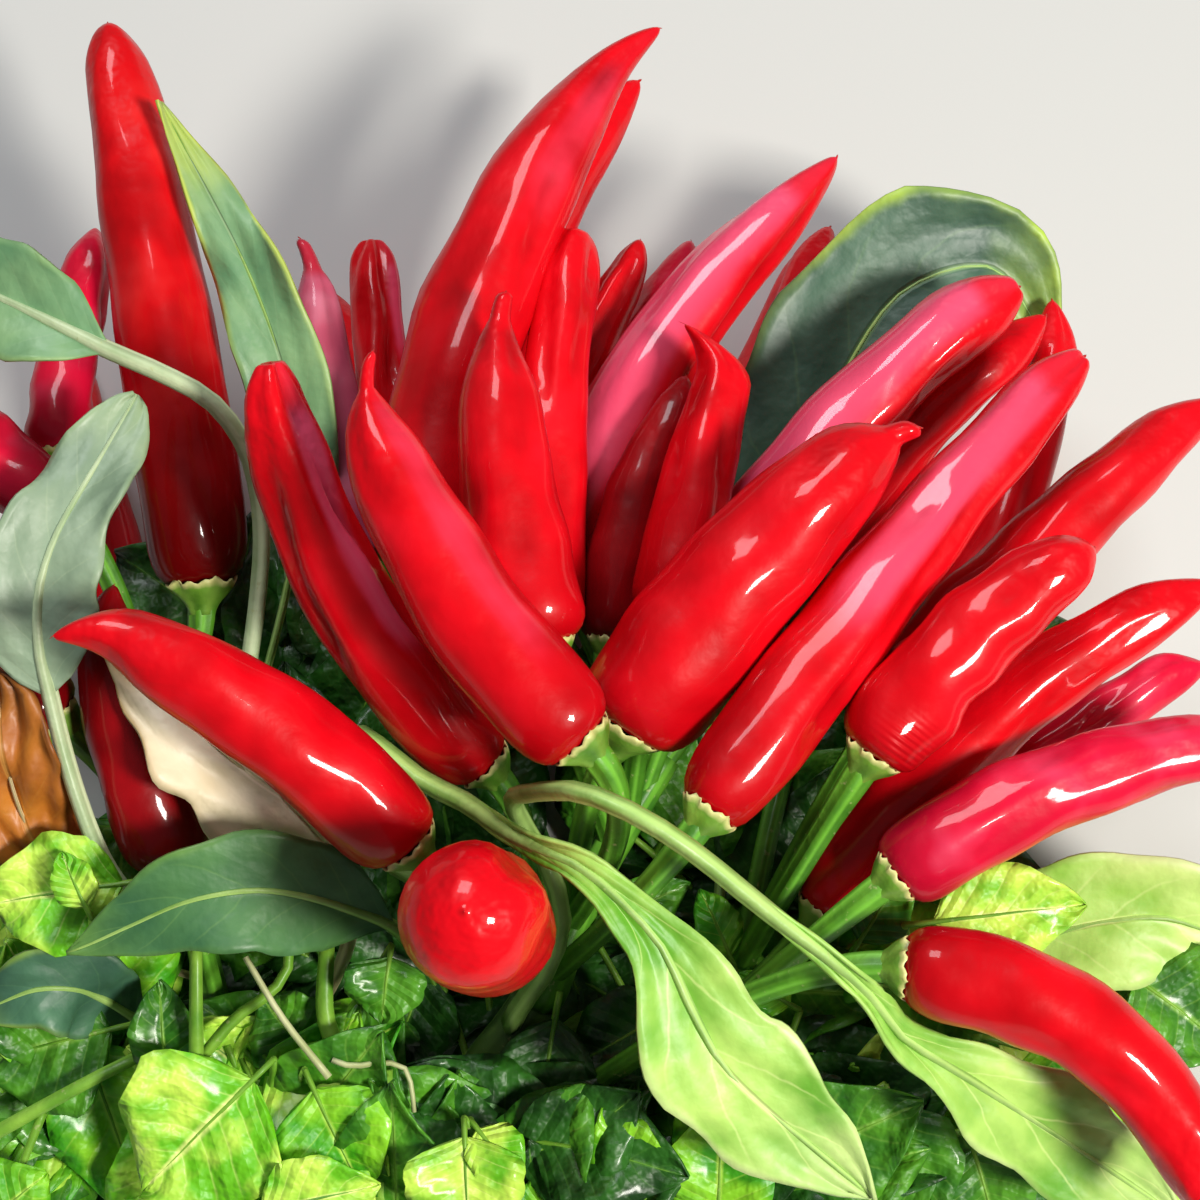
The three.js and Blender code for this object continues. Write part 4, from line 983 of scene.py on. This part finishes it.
shoot_leaf_model, shoot_leaf_points = flat_blade("shoot_leaf_model", 8, 14)
twig_model = ridged_rod("twig_model", 8, 8, ridges=2, depth=0.08)


def lay_shoot_leaf(way, width, luck):
    """One soft leaf: a short stalk's length along the way, then a broad crinkled blade."""
    along, across = shoot_leaf_points[:, 1], shoot_leaf_points[:, 0] * 2
    stops = [0, 0.08, 0.2, 0.35, 0.5, 0.68, 0.84, 0.95, 1]
    half = width / 2 * np.interp(along, stops, [0.08, 0.5, 0.85, 1, 0.97, 0.78, 0.45, 0.16, 0.02])
    off, turn = np.abs(across), luck.uniform(0, 6.3)
    half = half * (1 + 0.05 * np.sin(17 * along + turn) * off)
    crinkle = width * 0.06
    rise = BLADE_FOLD * off * half + crinkle * 1.2 * np.sin(7 * along + 2 * across + turn) * off ** 2
    rise += crinkle * np.abs(np.sin(9 * along - 2.5 * off + turn)) * off * (1.2 - off)
    rise += crinkle * 0.5 * np.sin(15 * along + 3 * across + turn) * np.minimum(1, 3 * off)
    places = way.at(LEAF_FROM + (1 - LEAF_FROM) * along) + way.at(along, "side") * (across * half)[:, None]
    places += way.at(along, "up") * (rise * np.minimum(1, 4 * along))[:, None]
    return copied(shoot_leaf_model, "shoot_leaf", places)


def bezier(start, middle, end, count=12):
    """The bow from start to end that leans toward middle."""
    return interpolate_bezier(start, start.lerp(middle, 2 / 3), end.lerp(middle, 2 / 3), end, count)


def mass_stem(mass, heart):
    """The line of a mass's own stem, from a place on its limb where the way is clear."""
    limb = limbs[mass["on"]]
    for step in STEM_STEPS:
        share = min(max(mass["share"] + step, 0.05), 0.95)
        place, out = bud_on(limb, share, heart)
        line = bezier(place, place + out * 0.4 * (heart - place).length, heart, 24)
        if is_clear(line[4:], STEM_ROOM):
            return line
    return line


def reached(place, mass):
    """Whether a place is in the space that a mass keeps to."""
    axes = [drawn(*axis).normalized() for axis in ((1, 0, 0), (0, 1, 0), (0, 0, 1))]
    for axis, middle, reach in zip(axes, mass["heart"], mass["reach"]):
        if abs((place - origin).dot(axis) * 1000 - middle) > reach:
            return False
    return True


def grow_mass(which, mass, luck):
    """Grows the twigs and the leaves of a mass, each by its kind."""
    heart, reach = at(mass["heart"]), mass["reach"]
    stem = Way(mass_stem(mass, heart))
    twigs = {"green": [], "dry": []}
    leaves = {}

    def add_twig(line, girth, kind="green", thinning=0.5):
        way = Way(line)
        girth_at = lambda share: (1 - thinning * share) * girth / 1000
        twigs[kind].append(laid_along(twig_model, "twig", way, girth_at))
        return way

    def add_leaf(line, upper, width, kind):
        way = Way(line, upper, faced_from=0)
        leaves.setdefault(kind, []).append(lay_shoot_leaf(way, width / 1000, luck))
        add_twig(line, 0.4 * TWIG_GIRTH, thinning=0.75)

    def grow_twig(start, turn, scale):
        right, up, toward = math.cos(turn), math.sin(turn), (luck.random() - 0.5) * 1.6
        out = drawn(right * reach[0], up * reach[1], toward * reach[2])
        out *= scale * luck.uniform(0.4, 0.8)
        line = bezier(start, start.lerp(start + out, 0.5) + drawn(0, 1.5, 0), start + out)
        if not (reached(line[-1], mass) and is_clear(line[5:], TWIG_ROOM)):
            return None
        return add_twig(line, 0.8 * scale * TWIG_GIRTH), out

    def grow_leaf(root, out, turn, kind):
        size = luck.uniform(0.8, 1.2)
        heading = Matrix.Rotation(turn, 3, toward_viewer) @ out.normalized()
        heading = (heading + toward_viewer * luck.uniform(-0.5, 0.5)).normalized()
        tip = root + heading * LEAF_LENGTH / 1000 * size
        line = bezier(root, root.lerp(tip, 0.5) + drawn(0, 2, 2), tip)
        upper = drawn(luck.uniform(-0.4, 0.4), luck.uniform(0.1, 0.6), luck.uniform(0.7, 1.2)).normalized()
        side = heading.cross(upper).normalized() * LEAF_WIDTH / 2000 * size * 0.7
        edges = [line[6] + side, line[6] - side]
        if not (reached(tip, mass) and is_clear(line[4:] + edges, LEAF_ROOM)):
            return False
        add_leaf(line, upper, LEAF_WIDTH * size, kind)
        return True

    add_twig(stem.points, 1.5 * TWIG_GIRTH, thinning=0.3)
    for places, girth, kind in SHOWN_STEMS.get(which, []):
        add_twig(smooth_line([at(place) for place in places]), girth, kind, 0.2)
    for root, tip, width, kind in LARGE_LEAVES.get(which, []):
        for back in STEPS_BACK:
            root_at, tip_at = at(root) + drawn(0, 0, back), at(tip) + drawn(0, 0, back)
            line = bezier(root_at, root_at.lerp(tip_at, 0.5) + drawn(0, 0.5, 2.5), tip_at)
            if is_clear(line[2:], LARGE_LEAF_ROOM):
                break
        upper = drawn(luck.uniform(-0.2, 0.2), luck.uniform(0, 0.4), 1).normalized()
        add_leaf(line, upper, width, kind)
        starts = [stem.place(share) for share in (0.3, 0.5, 0.7, 0.9)]
        start = min(starts, key=lambda place: (place - root_at).length)
        line = bezier(start, start.lerp(root_at, 0.5) - drawn(0, 0, 4), root_at)
        add_twig(line, 0.6 * TWIG_GIRTH, thinning=0.3)
    for i in range(SHOOTS):
        kind = mass["greens"][i % 3]
        start = stem.place(0.35 + 0.65 * (i + 1) / SHOOTS)
        for n in range(SHOOT_TRIES):
            shoot = grow_twig(start, GOLDEN_TURN * (i + n * SHOOTS), 1)
            if shoot:
                break
        if not shoot:
            continue
        way, out = shoot
        branches = [shoot]
        for j in range(TWIGS_A_SHOOT):
            turn = GOLDEN_TURN * (i + j) + luck.random()
            branches.append(grow_twig(way.place((j + 1) / (TWIGS_A_SHOOT + 1)), turn, 0.55))
        for way, out in (branch for branch in branches if branch):
            for j in range(LEAVES_A_TWIG):
                for _ in range(LEAF_TRIES):
                    if grow_leaf(way.place((j + 1) / LEAVES_A_TWIG), out, luck.uniform(-2.2, 2.2), kind):
                        break
    return twigs, leaves


for number, (which, mass) in enumerate(MASSES.items()):
    name = "foliage_" + which
    twigs, leaves = grow_mass(which, mass, random.Random(FIRST_MASS_SEED + number))
    pieces = []
    for kind, sprigs in twigs.items():
        if sprigs:
            spray = joined(f"{name}_{kind}_twigs", sprigs)
            spray.data.materials.clear()
            spray.data.materials.append(twig_skins[kind])
            pieces.append(spray)
    for kind, sprigs in leaves.items():
        spray = joined(f"{name}_{kind}_leaves", sprigs)
        pieces.append(thicken(spray, LEAF_THICK, greens[kind], greens[kind]))
    for piece in pieces:
        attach(piece, "root")
        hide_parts(name)

models = [stem_model, chilli_model, stalk_model, calyx_model]
for model in [*models, blade_model, petiole_model, shoot_leaf_model, twig_model]:
    bpy.data.objects.remove(model)

# ---- Floor, light and camera
# A pale floor under the branch, a soft light from above and behind, a smaller warm light for crisp
# highlights from the right, and a camera that looks down at the branch as a person facing the plant did.
bpy.ops.mesh.primitive_plane_add(size=3)
floor = bpy.context.active_object
floor.name = "floor"
floor_finish = Finish("pale floor")
floor.data.materials.append(floor_finish.paint(base_color=(0.6, 0.6, 0.58), roughness=0.7))

CAMERA_AWAY = 300
FRAME_WIDE = 160
SENSOR_WIDE = 36


def facing(place, target, up):
    """A turn that looks from a place to a target."""
    back = (place - target).normalized()
    right = up.cross(back).normalized()
    return Matrix((right, back.cross(right), back)).transposed().to_euler()


def add_light(name, away, size, power, colour):
    place = origin + drawn(*away)
    turn = facing(place, origin, Vector((0.1, 1, 0.2)))
    bpy.ops.object.light_add(type="AREA", location=place, rotation=turn)
    light = bpy.context.active_object
    light.name = name
    light.data.size, light.data.energy, light.data.color = size, power, colour


add_light("sky light", (-120, 520, 420), 0.24, 2.4, (0.93, 0.96, 1))
add_light("sun light", (350, -90, 560), 0.12, 5.4, (1, 0.96, 0.88))
world = bpy.data.worlds.new("soft room")
world.use_nodes = True
background = world.node_tree.nodes["Background"]
background.inputs["Color"].default_value = (0.9, 0.95, 1, 1)
background.inputs["Strength"].default_value = 0.12
bpy.context.scene.world = world
bpy.context.scene.view_settings.view_transform = "Standard"

place = origin + toward_viewer * CAMERA_AWAY / 1000
bpy.ops.object.camera_add(location=place, rotation=facing(place, origin, drawn(0, 1, 0).normalized()))
camera = bpy.context.active_object
camera.data.sensor_width = SENSOR_WIDE
camera.data.lens = SENSOR_WIDE * CAMERA_AWAY / FRAME_WIDE
camera.data.clip_start = 0.01
bpy.context.scene.camera = camera
